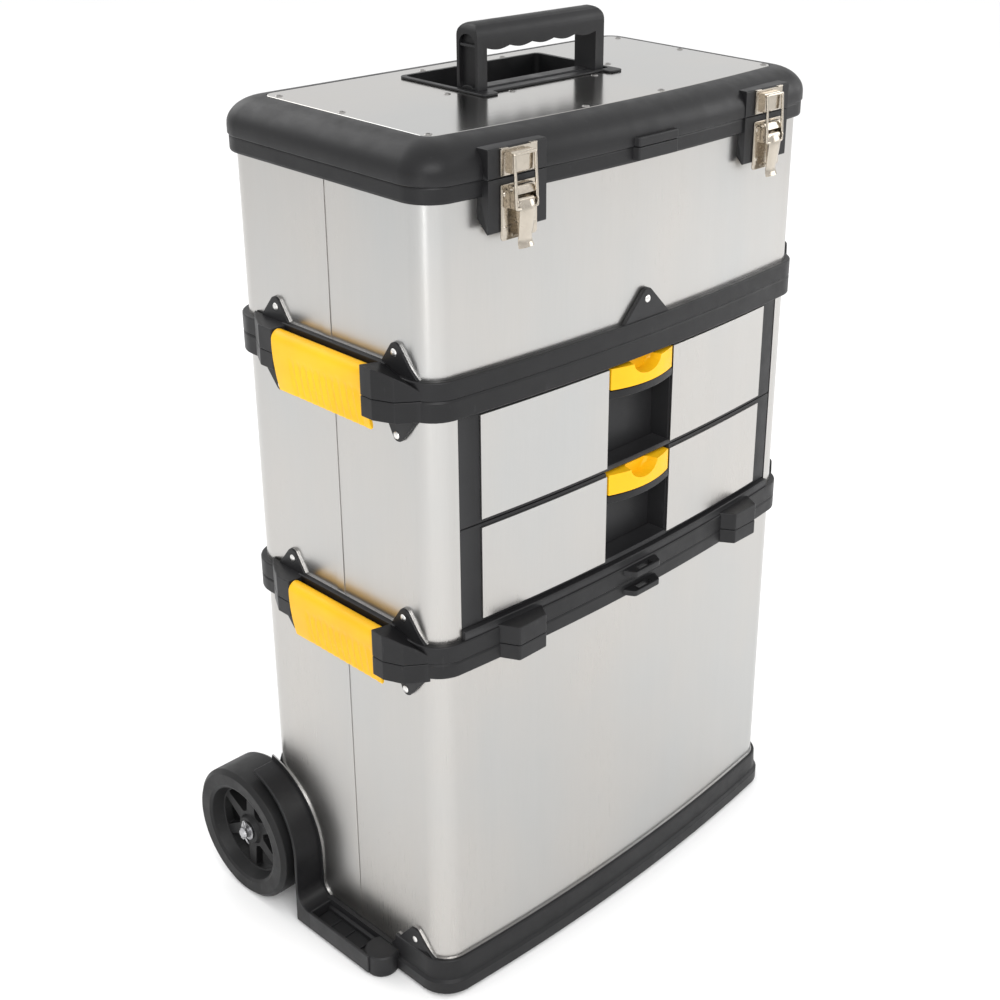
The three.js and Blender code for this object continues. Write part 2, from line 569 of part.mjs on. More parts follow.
function latchLoop(x) {
  const rise = Math.hypot(LOOP.topZ - LOOP.z, LOOP.out - LOOP.topOut);
  const lean = THREE.MathUtils.radToDeg(Math.atan2(LOOP.out - LOOP.topOut, LOOP.topZ - LOOP.z));
  const leg = (side) => rod(Z, LOOP.r, -LOOP.r * 0.9, rise + LOOP.r * 0.9, [0, 0], 10)
    .rotate([-lean, 0, 0]).translate([x + side * LOOP.half, at(LOOP.out), LOOP.z]);
  const reach = LOOP.half + LOOP.r * 0.9;
  const foot = latchBar(x, reach, LOOP.r, LOOP.out, LOOP.z, 10);
  const bar = latchBar(x, reach, LOOP.r, LOOP.topOut, LOOP.topZ, 10);
  return union(leg(-1), leg(1), foot, bar);
}

// The keeper on the lid: a plate with a raised block that the loop's bar lies against.
function latchKeeper(x) {
  const plate = box([x - LATCH_HALF, x + LATCH_HALF], [at(0), at(-PLATE)], [SPLIT_3 + 2, 837]);
  const block = box([x - 12, x + 12], [at(4.4), at(-PLATE + 0.2)], [SPLIT_3 + 3, 834]);
  return union(plate, block);
}

// ---- tray ---------------------------------------------------------------------------------------
const TRAY = { z: [705, TRAY_LEDGE + 3], wall: 2.5, in: 19 };
function toolTray() {
  const rimTop = TRAY.z[1];
  const shell = slab(-TRAY.in, TRAY.z[0], rimTop).subtract(slab(-TRAY.in - TRAY.wall, TRAY.z[0] + TRAY.wall, rimTop + 1));
  const flange = ring(-9, -TRAY.in - 1, TRAY_LEDGE + GAP, rimTop);
  const inside = slab(-TRAY.in - 1, TRAY.z[0], rimTop - 6);
  const spine = box([-240, 240], [-1.25, 1.25], [TRAY.z[0] + 1, rimTop - 6]);
  const cross = [-80, 80].map((x) => box([x - 1.25, x + 1.25], [-140, 140], [TRAY.z[0] + 1, rimTop - 14]));
  return union(shell, flange, union(spine, cross).intersect(inside), trayHandle());
}

function trayHandle() {
  const post = (x) => box([x - 9, x + 9], [-5, 5], [TRAY.z[0] + 1, 790]);
  const bar = prismX(roundedRect(0, 788, 20, 16, 6), -75, 75, 3);
  return union(post(-66), post(66), bar);
}

// ---- lid ----------------------------------------------------------------------------------------
const PLATE_IN = 24;
const SHOULDER = { size: PLATE_IN + LID_RIM, height: 25 };

// A slab whose top edge is rounded over to the body outline.
function dome(inset, size, top, bottom) {
  const height = SHOULDER.height;
  const geometry = new THREE.ExtrudeGeometry(outline(inset - size), {
    depth: 40, bevelEnabled: true, bevelThickness: height, bevelSize: size, bevelSegments: 4,
  });
  geometry.translate(0, 0, top - 40 - height);
  return solid(geometry).intersect(box([-400, 400], [-300, 300], [bottom, top + 1]));
}

const WELL = { x: 86, y: [-11, 86], floor: 823, wall: 2.5 };
const bezelShape = (grow) => {
  const [x, back, front, lip, ear] = [91 + grow, 90 + grow, -25 - grow, -15 - grow, 72 - grow];
  const shape = new THREE.Shape();
  const r = 7;
  shape.absarc(x - r, back - r, r, 0, Math.PI / 2, false);
  shape.absarc(-x + r, back - r, r, Math.PI / 2, Math.PI, false);
  shape.absarc(-x + r, front + r, r, Math.PI, 1.5 * Math.PI, false);
  shape.absarc(-ear - r, front + r, r, 1.5 * Math.PI, 2 * Math.PI, false);
  shape.lineTo(-ear, lip);
  shape.lineTo(ear, lip);
  shape.absarc(ear + r, front + r, r, Math.PI, 1.5 * Math.PI, false);
  shape.absarc(x - r, front + r, r, 1.5 * Math.PI, 2 * Math.PI, false);
  return shape;
};

// The hole for the handle well in the plate and the frame under it.
const wellHole = (grow, z0, z1) => {
  const { x, y, wall } = WELL;
  return box([-x - wall - grow, x + wall + grow], [y[0] - wall - grow, y[1] + wall + grow], [z0, z1]);
};

function lidPlate() {
  return slab(-PLATE_IN - GAP, PLATE_TOP - 1.6, PLATE_TOP).subtract(wellHole(GAP, 800, 900));
}

function lidFrame() {
  const shell = dome(LID_RIM, SHOULDER.size, PLATE_TOP, SPLIT_3 + GAP / 2)
    .subtract(dome(LID_RIM - 4, SHOULDER.size, PLATE_TOP - 4, SPLIT_3 - 10))
    .subtract(slab(-PLATE_IN, PLATE_TOP - 1.6 - GAP, PLATE_TOP + 5))
    .subtract(slab(-PLATE_IN - 12, 800, PLATE_TOP + 5));
  const pads = union([-LATCH_X, LATCH_X].map((x) => latchPad(x, [SPLIT_3 + GAP / 2, 838], 0)));
  const knuckle = both(hingeKnuckle(HINGE_X - 11.5, HINGE_X + 11.5, false));
  const clear = both(union(
    box([HINGE_X - 32.5, HINGE_X - 11.8], [HINGE_Y - 5.8, 170], [SPLIT_3 - 8, HINGE_Z + 7]),
    box([HINGE_X + 11.8, HINGE_X + 32.5], [HINGE_Y - 5.8, 170], [SPLIT_3 - 8, HINGE_Z + 7]),
  ));
  return shell
    .add(pads.subtract(dome(LID_RIM - 4, SHOULDER.size, PLATE_TOP - 4, SPLIT_3 - 10)))
    .add(lug(0, 12, 29, 26, [SPLIT_3 + GAP / 2, 822]).subtract(slab(3, 800, 830)))
    .add(knuckle)
    .subtract(clear);
}

const hingePin = () => rod(X, 2, HINGE_X - 33, HINGE_X + 33, [HINGE_Y, HINGE_Z], 12);

function handleWell() {
  const { x, y, floor, wall } = WELL;
  const bezel = prismZ(bezelShape(0), PLATE_TOP + GAP, PLATE_TOP + 2);
  const outer = box([-x - wall, x + wall], [y[0] - wall, y[1] + wall], [floor - wall, PLATE_TOP + 2]);
  const pocket = box([-x, x], y, [floor, PLATE_TOP + 5]);
  const ledge = prismZ(polygon([[-68.5, y[0] - 2], [68.5, y[0] - 2], [68.5, 15], [-68.5, 15]]), floor - 1, PLATE_TOP + 2);
  const pivots = rod(X, 4.3, -x - 5, x + 5, [BAIL_Y, BAIL_Z], 16);
  return union(bezel, outer).subtract(pocket).subtract(pivots).add(ledge);
}

// The carrying handle: two legs, a bar with finger waves below, and stub pivots.
const BAIL = { half: 82, leg: 11.5, depth: 27, top: 905, bar: 22, waves: 5, round: 13 };
function lidHandle() {
  const { half, leg, depth, top, bar } = BAIL;
  const under = top - bar;
  const shape = new THREE.Shape();
  const r = 9;
  shape.moveTo(-half, BAIL_Z - 8);
  shape.lineTo(-half, top - r);
  shape.absarc(-half + r, top - r, r, Math.PI, Math.PI / 2, true);
  shape.absarc(half - r, top - r, r, Math.PI / 2, 0, true);
  shape.lineTo(half, BAIL_Z - 8);
  shape.lineTo(half - leg, BAIL_Z - 8);
  shape.lineTo(half - leg, under);
  const pitch = (2 * (half - leg)) / BAIL.waves;
  for (let k = 0; k < BAIL.waves; k += 1) {
    const from = half - leg - k * pitch;
    shape.quadraticCurveTo(from - pitch / 2, under - 4, from - pitch, under);
  }
  shape.lineTo(-half + leg, BAIL_Z - 8);
  const y = [BAIL_Y - depth / 2, BAIL_Y + depth / 2];
  const section = new THREE.Shape();
  section.moveTo(y[0], BAIL_Z - 20);
  section.lineTo(y[1], BAIL_Z - 20);
  section.absarc(y[1] - BAIL.round, top - BAIL.round, BAIL.round, 0, Math.PI / 2, false);
  section.absarc(y[0] + BAIL.round, top - BAIL.round, BAIL.round, Math.PI / 2, Math.PI, false);
  const bail = prismY(shape, ...y, 4).intersect(prismX(section, -half - 1, half + 1, 4));
  const feet = union([-1, 1].map((s) => rod(
    X, depth / 2 - 0.3, Math.min(s * half, s * (half - leg)), Math.max(s * half, s * (half - leg)), [BAIL_Y, BAIL_Z], 20,
  )));
  const stubs = rod(X, 4, -WELL.x - 2, WELL.x + 2, [BAIL_Y, BAIL_Z], 16)
    .subtract(box([-half + leg, half - leg], [-100, 100], [0, 900]));
  const trim = box([-half - 1, half + 1], [y[0] - 1, y[1] + 1], [BAIL_Z - 12, BAIL_Z]);
  return union(bail.subtract(trim), feet, stubs);
}

// ---- assembly -----------------------------------------------------------------------------------
const part = new THREE.Group();
part.position.set(0, -ORIGIN_Y, 0);

function add(name, piece, material) {
  const mesh = piece.getMesh();
  const geometry = new THREE.BufferGeometry();
  geometry.setAttribute('position', new THREE.BufferAttribute(mesh.vertProperties, 3));
  geometry.setIndex(new THREE.BufferAttribute(mesh.triVerts, 1));
  geometry.computeVertexNormals();
  const node = new THREE.Mesh(geometry, material);
  node.name = name;
  part.add(node);
}

const SIDES = [['left', -1], ['right', 1]];
const toSide = (piece, sign) => (sign < 0 ? mirrorX(piece) : piece);

add('base', base(), BLACK);
add('bin_sleeve', binSleeve(), STEEL_FINISH);
add('bin_top_rim', binTopRim(), BLACK);
add('axle', axle(), CHROME);
for (const [side, sign] of SIDES) {
  add(`washer_${side}`, toSide(washer(), sign), CHROME);
  add(`cotter_pin_${side}`, toSide(cotterPin(), sign), CHROME);
  add(`wheel_${side}`, toSide(wheel(), sign), TYRE);
  add(`guide_tube_${side}`, guideTube(sign * TUBE_X), CHROME);
  add(`inner_tube_${side}`, innerTube(sign * TUBE_X), CHROME);
}
add('handle_bracket_lower', handleBracket([86, 114], REAR), BLACK);
add('handle_bracket_upper', handleBracket([320, 350], REAR), BLACK);
add('trolley_grip', trolleyGrip(), BLACK);
add('release_button', releaseButton(), YELLOW);

add('case_sleeve', caseSleeve(), STEEL_FINISH);
add('case_lower_rim', drawerUnitLowerRim().subtract(pinBores(SPLIT_1)), BLACK);
add('case_upper_rim', drawerUnitUpperRim(), BLACK);
add('drawer_frame', drawerFrame(), BLACK);
for (const [level, heights] of Object.entries(DRAWERS)) {
  add(`drawer_${level}`, drawerTub(heights), BLACK);
  add(`drawer_${level}_pull`, drawerPull(heights), YELLOW);
  for (const [side, sign] of SIDES) add(`drawer_${level}_plate_${side}`, drawerPlate(heights, sign), STEEL_FINISH);
}

add('box_base', topBoxBase(), BLACK);
add('box_sleeve', topBoxSleeve(), STEEL_FINISH);
add('box_top_rim', topBoxTopRim(), BLACK);
add('tool_tray', toolTray(), BLACK);
add('lid_frame', lidFrame(), BLACK);
add('lid_plate', lidPlate(), STEEL_FINISH);
add('handle_well', handleWell(), BLACK);
add('lid_handle', lidHandle(), BLACK);

for (const [side, sign] of SIDES) {
  add(`hinge_pin_${side}`, toSide(hingePin(), sign), CHROME);
  add(`latch_base_${side}`, latchBase(sign * LATCH_X), NICKEL);
  add(`latch_lever_${side}`, latchLever(sign * LATCH_X), NICKEL);
  add(`latch_loop_${side}`, latchLoop(sign * LATCH_X), NICKEL);
  add(`latch_keeper_${side}`, latchKeeper(sign * LATCH_X), NICKEL);
  for (const [level, split] of [['lower', SPLIT_1], ['upper', SPLIT_2]]) {
    add(`side_latch_${level}_${side}`, toSide(sideLever(split), sign), YELLOW);
    add(`side_latch_pin_${level}_${side}`, toSide(sidePin(split), sign), CHROME);
  }
}

export default part;
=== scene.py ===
import math

import bmesh
import bpy
from mathutils import Matrix, Vector

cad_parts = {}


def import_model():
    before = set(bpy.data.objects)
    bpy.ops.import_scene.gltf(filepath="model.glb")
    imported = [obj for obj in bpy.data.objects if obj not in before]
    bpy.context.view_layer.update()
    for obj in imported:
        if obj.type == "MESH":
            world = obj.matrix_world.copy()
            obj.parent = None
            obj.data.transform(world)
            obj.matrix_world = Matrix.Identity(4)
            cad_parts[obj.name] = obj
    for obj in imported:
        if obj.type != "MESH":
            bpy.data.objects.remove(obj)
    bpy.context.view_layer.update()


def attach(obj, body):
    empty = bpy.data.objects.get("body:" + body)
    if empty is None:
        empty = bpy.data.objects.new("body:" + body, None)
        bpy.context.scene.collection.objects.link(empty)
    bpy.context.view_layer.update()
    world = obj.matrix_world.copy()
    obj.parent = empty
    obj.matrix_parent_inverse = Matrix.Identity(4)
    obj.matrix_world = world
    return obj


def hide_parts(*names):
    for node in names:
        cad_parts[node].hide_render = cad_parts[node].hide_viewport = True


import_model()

# ---- sizes, in millimetres, measured from the middle of the body ----
ORIGIN_Y = 33.38
HALF_W, FRONT, REAR, BOW, CORNER_R = 250, 137, 137, 14.2, 25
RIM, RIM_IN = 6.2, -8
SPLITS = (381, 633)
LID_SPLIT, PLATE_TOP = 813, 845.6
OPENING_HALF = 222
WHEEL_Y, WHEEL_Z, WHEEL_R = 148, 73, 73
LEVER_Y = (-68, 58)
EAR_OUT, REAR_EAR_OUT = 278, 271.5
LATCH_X, LUG_X = 166, 158
TUBE_X, TUBE_Y = 120, 158
SIDES = (("left", -1), ("right", 1))


# ---- shapes ----
def front_y(x, offset=0):
    return -(FRONT + offset) + BOW * (x / HALF_W) ** 2


def outline(offset, steps=9, bow=24, wide=0.0):
    """The body's plan grown by an offset, as points with the same count for every offset."""
    r = max(CORNER_R + offset + wide, 2)
    right = HALF_W + offset - r
    back = REAR + offset - r
    front = front_y(right, offset) + r
    out = []

    def corner(cx, cy, quarter):
        for k in range(steps + 1):
            a = (quarter + k / steps) * math.pi / 2
            out.append((cx + r * math.cos(a), cy + r * math.sin(a)))

    corner(right, back, 0)
    corner(-right, back, 1)
    corner(-right, front, 2)
    for k in range(1, bow):
        x = right * (2 * k / bow - 1)
        out.append((x, front_y(x, offset)))
    corner(right, front, 3)
    return out


def fillet(points, steps=4):
    """A closed polygon with its corners (u, v, radius) rounded; one with no radius stays sharp."""
    out = []
    n = len(points)
    for i, p in enumerate(points):
        r = p[2] if len(p) > 2 else 0
        c = Vector(p[:2])
        if r <= 0:
            out.append(tuple(c))
            continue
        a = (Vector(points[i - 1][:2]) - c).normalized()
        b = (Vector(points[(i + 1) % n][:2]) - c).normalized()
        half = a.angle(b) / 2
        reach = r / math.tan(half)
        centre = c + (a + b).normalized() * (r / math.sin(half))
        s, e = c + a * reach - centre, c + b * reach - centre
        turn = math.atan2(s.x * e.y - s.y * e.x, s.dot(e))
        for k in range(steps + 1):
            t = turn * k / steps
            out.append(
                (
                    centre.x + s.x * math.cos(t) - s.y * math.sin(t),
                    centre.y + s.x * math.sin(t) + s.y * math.cos(t)
                )
            )
    return out


def loft(sections, ring=False, caps=True):
    """A skin through equal closed loops of points."""
    bm = bmesh.new()
    rows = [[bm.verts.new(p) for p in s] for s in sections]
    m = len(rows[0])
    pairs = list(zip(rows, rows[1:])) + ([(rows[-1], rows[0])] if ring else [])
    for a, b in pairs:
        for i in range(m):
            j = (i + 1) % m
            quad = [a[i], a[j], b[j], b[i]]
            if len(set(quad)) == 4:
                bm.faces.new(quad)
    if caps and not ring:
        bm.faces.new(rows[0][::-1])
        bm.faces.new(rows[-1])
    bmesh.ops.remove_doubles(bm, verts=bm.verts, dist=1e-4)
    bmesh.ops.recalc_face_normals(bm, faces=bm.faces)
    return bm


def lid_outline(offset):
    """The plan of the lid, whose corners keep a wider radius towards the steel plate."""
    return outline(offset, wide=10 * (7.4 - offset) / 31.4)


def sweep(profile, plan=outline):
    """A ring round the body: profile points are (offset, height)."""
    plans = {o: plan(o) for o, _ in profile}
    n = len(plans[profile[0][0]])
    return loft([[(*plans[o][i], z) for o, z in profile] for i in range(n)], ring=True)


def slab(profile, plan=outline):
    """A solid plate with the body's plan; profile runs from its underside to its top."""
    return loft([[(x, y, z) for x, y in plan(o)] for o, z in profile])


def strip(profile, x0, x1, steps=16):
    """A bar that follows the bowed front between two stations."""
    xs = [x0 + (x1 - x0) * k / steps for k in range(steps + 1)]
    return loft([[(x, front_y(x, o), z) for o, z in profile] for x in xs])


AXES = {
    "x": lambda u, v, t: (t, u, v),
    "y": lambda u, v, t: (u, t, v),
    "z": lambda u, v, t: (u, v, t),
}


def prism(points, axis, lo, hi, bevel=0, steps=2):
    """A flat shape run along an axis. The shape's own axes are the other two, in X, Y, Z order."""
    bm = loft([[AXES[axis](u, v, t) for u, v in points] for t in (lo, hi)])
    return bevelled(bm, bevel, steps)


def bevelled(bm, width, steps=2, angle=28):
    if width:
        bm.normal_update()
        sharp = [e for e in bm.edges if e.is_manifold and e.calc_face_angle(0) > math.radians(angle)]
        bmesh.ops.bevel(
            bm, geom=sharp, offset=width, segments=steps, profile=0.5, affect="EDGES", clamp_overlap=True
        )
    return bm


def box(x, y, z, bevel=0.8, steps=2):
    return prism(
        [(x[0], y[0]), (x[1], y[0]), (x[1], y[1]), (x[0], y[1])], "z", *z, bevel=bevel, steps=steps
    )


def arc(u, v, radius, start, end, steps):
    """Points along an arc, in degrees; a pair of radii makes it an ellipse."""
    ru, rv = radius if isinstance(radius, tuple) else (radius, radius)
    angles = [math.radians(start + (end - start) * k / steps) for k in range(steps + 1)]
    return [(u + ru * math.cos(a), v + rv * math.sin(a)) for a in angles]


def circle(r, u=0, v=0, steps=32):
    return [
        (u + r * math.cos(2 * math.pi * k / steps), v + r * math.sin(2 * math.pi * k / steps))
        for k in range(steps)
    ]


def rod(axis, r, lo, hi, at, steps=28, bevel=0.5):
    return prism(circle(r, *at, steps), axis, lo, hi, bevel=min(bevel, r * 0.4))


def bush(radii, soft, lo, hi, axis, at, steps=36, rounds=3):
    """A plain ring; radii and the rounding of their edges are (inner, outer)."""
    (r0, r1), (s0, s1) = radii, soft
    section = [(r0, lo, s0), (r1, lo, s1), (r1, hi, s1), (r0, hi, s0)]
    return lathe(fillet(section, rounds), axis, at, steps)


def lathe(profile, axis, at, steps=48):
    """Turned shape: profile points are (radius, station)."""
    sections = []
    for k in range(steps):
        a = 2 * math.pi * k / steps
        sections.append(
            [AXES[axis](at[0] + r * math.cos(a), at[1] + r * math.sin(a), t) for r, t in profile]
        )
    return loft(sections, ring=True)


def tube(path, r, sides=10, caps=True, ring=False):
    """A round wire along a path."""
    pts = [Vector(p) for p in path]
    n = len(pts)
    sections = []
    normal = None
    for i, p in enumerate(pts):
        a = pts[i - 1] if (i or ring) else p
        b = pts[(i + 1) % n] if (i < n - 1 or ring) else p
        t = (b - a).normalized()
        if normal is None:
            normal = t.orthogonal().normalized()
        normal = (normal - t * normal.dot(t)).normalized()
        side = t.cross(normal)
        sections.append(
            [
                tuple(p + (normal * math.cos(w) + side * math.sin(w)) * r)
                for w in (2 * math.pi * k / sides for k in range(sides))
            ]
        )
    return loft(sections, ring=ring, caps=caps)


def bend(points, r, steps=6):
    """A 3-D polyline with rounded corners."""
    pts = [Vector(p) for p in points]
    out = [pts[0]]
    for a, c, b in zip(pts, pts[1:], pts[2:]):
        u, w = (a - c).normalized(), (b - c).normalized()
        half = u.angle(w) / 2
        reach = r / math.tan(half)
        centre = c + (u + w).normalized() * (r / math.sin(half))
        s, e = c + u * reach - centre, c + w * reach - centre
        for k in range(steps + 1):
            out.append(centre + s.slerp(e, k / steps))
    out.append(pts[-1])
    return out


def pour(bm, out):
    """Adds one bmesh to another and frees it."""
    me = bpy.data.meshes.new("join")
    bm.to_mesh(me)
    out.from_mesh(me)
    bpy.data.meshes.remove(me)
    bm.free()


def joined(*bms):
    out = bmesh.new()
    for b in bms:
        pour(b, out)
    return out


def copy_of(bm, matrix):
    out = bm.copy()
    out.transform(matrix)
    if matrix.determinant() < 0:
        bmesh.ops.reverse_faces(out, faces=out.faces)
    return out


MIRROR = Matrix.Diagonal((-1, 1, 1, 1))


def span(sign, a, b):
    """Two distances from the middle as a range on one side, in rising order."""
    return sorted((sign * a, sign * b))


def shifted(bm, x=0, y=0, z=0):
    bm.transform(Matrix.Translation((x, y, z)))
    return bm


def both(bm):
    other = copy_of(bm, MIRROR)
    return joined(bm, other)


def side(bm, sign):
    """The piece as built is the right-hand one."""
    if sign > 0:
        return bm
    out = copy_of(bm, MIRROR)
    bm.free()
    return out


def temp_object(bm):
    me = bpy.data.meshes.new("tool")
    bm.to_mesh(me)
    bm.free()
    ob = bpy.data.objects.new("tool", me)
    bpy.context.scene.collection.objects.link(ob)
    return ob


def carve(bm, *tools, operation="DIFFERENCE"):
    body = temp_object(bm)
    cutters = [temp_object(t) for t in tools]
    for c in cutters:
        m = body.modifiers.new("cut", "BOOLEAN")
        m.operation = operation
        m.solver = "EXACT"
        m.object = c
    dg = bpy.context.evaluated_depsgraph_get()
    out = bmesh.new()
    out.from_mesh(body.evaluated_get(dg).to_mesh())
    for o in [body, *cutters]:
        me = o.data
        bpy.data.objects.remove(o)
        bpy.data.meshes.remove(me)
    bmesh.ops.remove_doubles(out, verts=out.verts, dist=1e-3)
    return out


def fuse(first, *others):
    return carve(first, *others, operation="UNION")


def piece(name, body, node, parts, smooth=32):
    """One shown mesh from (material, bmesh) pairs."""
    whole = bmesh.new()
    materials = []
    for material, bm in parts:
        if material not in materials:
            materials.append(material)
        index = materials.index(material)
        for f in bm.faces:
            f.material_index = index
            f.smooth = True
        pour(bm, whole)
    bmesh.ops.scale(whole, vec=(0.001,) * 3, verts=whole.verts)
    bmesh.ops.translate(whole, vec=(0, -ORIGIN_Y / 1000, 0), verts=whole.verts)
    me = bpy.data.meshes.new(name)
    whole.to_mesh(me)
    whole.free()
    for m in materials:
        me.materials.append(m)
    me.set_sharp_from_angle(angle=math.radians(smooth))
    ob = bpy.data.objects.new(name, me)
    bpy.context.scene.collection.objects.link(ob)
    w = ob.modifiers.new("normals", "WEIGHTED_NORMAL")
    w.keep_sharp = True
    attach(ob, body)
    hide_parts(node)
    return ob


# ---- materials ----
def shader(name, **values):
    m = bpy.data.materials.new(name)
    m.use_nodes = True
    tree = m.node_tree
    bsdf = tree.nodes["Principled BSDF"]
    for key, value in values.items():
        bsdf.inputs[key.replace("_", " ")].default_value = value
    return m, tree, bsdf


def noise(tree, scale, detail=4, stretch=(1, 1, 1), rough=0.55):
    co = tree.nodes.new("ShaderNodeTexCoord")
    mp = tree.nodes.new("ShaderNodeMapping")
    mp.inputs["Scale"].default_value = stretch
    nz = tree.nodes.new("ShaderNodeTexNoise")
    nz.inputs["Scale"].default_value = scale
    nz.inputs["Detail"].default_value = detail
    nz.inputs["Roughness"].default_value = rough
    tree.links.new(co.outputs["Object"], mp.inputs["Vector"])
    tree.links.new(mp.outputs["Vector"], nz.inputs["Vector"])
    return nz.outputs["Fac"]


def ramp(tree, source, stops):
    r = tree.nodes.new("ShaderNodeValToRGB")
    while len(r.color_ramp.elements) < len(stops):
        r.color_ramp.elements.new(0.5)
    for e, (pos, value) in zip(r.color_ramp.elements, stops):
        e.position = pos
        e.color = value if isinstance(value, tuple) else (value, value, value, 1)
    tree.links.new(source, r.inputs["Fac"])
    return r.outputs["Color"]


def mix(tree, factor, a, b, kind="MIX"):
    n = tree.nodes.new("ShaderNodeMix")
    n.data_type = "RGBA"
    n.blend_type = kind
    for key, value in (("Factor", factor), ("A", a), ("B", b)):
        sockets = [s for s in n.inputs if s.name == key]
        s = sockets[0] if key == "Factor" else next(q for q in sockets if q.type == "RGBA")
        if isinstance(value, (int, float, tuple)):
            s.default_value = value
        else:
            tree.links.new(value, s)
    return next(o for o in n.outputs if o.type == "RGBA")


def bump(tree, bsdf, *layers):
    """Layers are (height, strength, distance), finest last."""
    normal = None
    for height, strength, distance in layers:
        b = tree.nodes.new("ShaderNodeBump")
        b.inputs["Strength"].default_value = strength
        b.inputs["Distance"].default_value = distance
        tree.links.new(height, b.inputs["Height"])
        if normal:
            tree.links.new(normal, b.inputs["Normal"])
        normal = b.outputs["Normal"]
    tree.links.new(normal, bsdf.inputs["Normal"])


def moulded(name, colour, rough, grain=1.0, wear=(0.11, 0.11, 0.115, 1)):
    """Moulded plastic: fine texture, soft mottling, scuffed edges and a little dust."""
    m, t, b = shader(name, IOR=1.46, Specular_IOR_Level=0.3)
    dark = tuple(c * 0.82 for c in colour[:3]) + (1,)
    body = mix(t, ramp(t, noise(t, 14, 5), [(0.3, 0.0), (0.7, 1.0)]), dark, colour)
    edge = t.nodes.new("ShaderNodeNewGeometry")
    worn = ramp(t, edge.outputs["Pointiness"], [(0.53, 0.0), (0.62, 0.5)])
    scuff = ramp(t, noise(t, 160, 6, (1, 1, 0.25)), [(0.66, 0.0), (0.78, 0.3)])
    body = mix(t, worn, body, wear)
    body = mix(t, scuff, body, wear)
    t.links.new(body, b.inputs["Base Color"])
    t.links.new(
        ramp(t, noise(t, 60, 4), [(0.25, rough - 0.07), (0.75, rough + 0.09)]), b.inputs["Roughness"]
    )
    bump(t, b, (noise(t, 30, 3), 0.08, 0.002), (noise(t, 1500 * grain, 3), 0.28, 0.00025))
    return m


def brushed(name, colour, rough, along, contrast=0.5, marks=0.5):
    """Sheet metal with a fine drawn grain, faint stains and hairline marks."""
    m, t, b = shader(name, Metallic=1.0)
    stretch = {"x": (0.02, 1, 1), "y": (1, 0.02, 1), "z": (1, 1, 0.02)}[along]
    grain = noise(t, 1300, 2, stretch, 0.7)
    broad = noise(t, 60, 3, stretch, 0.6)
    stain = noise(t, 5.5, 3, (1, 1, 0.6))
    warm = tuple(c * k for c, k in zip(colour[:3], (1.02, 1.0, 0.975))) + (1,)
    cool = tuple(c * k for c, k in zip(colour[:3], (0.965, 0.98, 0.985))) + (1,)
    base = mix(t, ramp(t, stain, [(0.35, 0.0), (0.65, 1.0)]), warm, cool)
    base = mix(t, 0.10 * contrast, base, ramp(t, grain, [(0.3, 0.25), (0.7, 1.0)]), "MULTIPLY")
    base = mix(t, 0.06 * contrast, base, ramp(t, broad, [(0.35, 0.45), (0.65, 1.0)]), "MULTIPLY")
    t.links.new(base, b.inputs["Base Color"])
    hair = noise(t, 900, 1, {"x": (0.012, 1, 1), "y": (1, 0.012, 1), "z": (1, 1, 0.012)}[along], 0.9)
    r = mix(
        t, 0.5, ramp(t, grain, [(0.3, rough - 0.03), (0.7, rough + 0.03)]),
        ramp(t, stain, [(0.3, rough - 0.02), (0.7, rough + 0.03)])
    )
    r = mix(t, ramp(t, hair, [(0.72, 0.0), (0.76, 0.35 * marks)]), r, (rough + 0.12,) * 3 + (1,))
    t.links.new(r, b.inputs["Roughness"])
    bump(t, b, (noise(t, 2.2, 2), 0.06, 0.003), (grain, 0.10, 0.00003))
    return m


def plated(name, colour, rough, pits=1.0):
    """Bright plating with light handling marks."""
    m, t, b = shader(name, Metallic=1.0)
    dark = tuple(c * 0.72 for c in colour[:3]) + (1,)
    t.links.new(
        mix(t, ramp(t, noise(t, 220, 5), [(0.3, 0.0), (0.75, 0.35)]), colour, dark), b.inputs["Base Color"]
    )
    t.links.new(
        ramp(t, noise(t, 400, 4), [(0.3, rough - 0.05), (0.75, rough + 0.14)]), b.inputs["Roughness"]
    )
    bump(t, b, (noise(t, 160, 3), 0.12, 0.0004), (noise(t, 1800, 2), 0.1 * pits, 0.0001))
    return m


BLACK = moulded("black plastic", (0.0092, 0.0091, 0.0099, 1), 0.42, wear=(0.05, 0.05, 0.052, 1))
# A darker copy of the black plastic, used on the inner frame: painted shade inside the drawer case.
BLACK_SHADED_INSIDE = moulded("black plastic, painted shade inside", (0.0065, 0.0065, 0.007, 1), 0.55, wear=(0.02, 0.02, 0.02, 1))
WHEEL_BLACK = moulded("wheel plastic", (0.0082, 0.0082, 0.0086, 1), 0.5, 0.7, (0.045, 0.045, 0.045, 1))
YELLOW = moulded("yellow plastic", (0.90, 0.48, 0.006, 1), 0.42, 1.4, (0.94, 0.54, 0.015, 1))
STEEL = brushed("stainless sheet", (0.485, 0.478, 0.468, 1), 0.29, "z", 0.35, 0.15)
STEEL_TOP = brushed("stainless lid plate", (0.50, 0.492, 0.48, 1), 0.17, "x", 0.3, 0.1)
NICKEL = plated("nickel plate", (0.50, 0.452, 0.385, 1), 0.17, 0.5)
ZINC = plated("zinc plate", (0.42, 0.42, 0.43, 1), 0.3)
CHROME = plated("chrome tube", (0.72, 0.72, 0.73, 1), 0.14, 0.4)
# Metal for thin trims that stand partly for the steel's lip and partly for a painted highlight line along
# the plastic edges.
LIP_AND_HIGHLIGHT_TRIM = plated("sheet lip and painted highlight", (0.45, 0.445, 0.44, 1), 0.3, 0.4)
SCREW = plated("screw head", (0.34, 0.33, 0.32, 1), 0.3)
RIVET = plated("rivet head", (0.78, 0.77, 0.75, 1), 0.32)


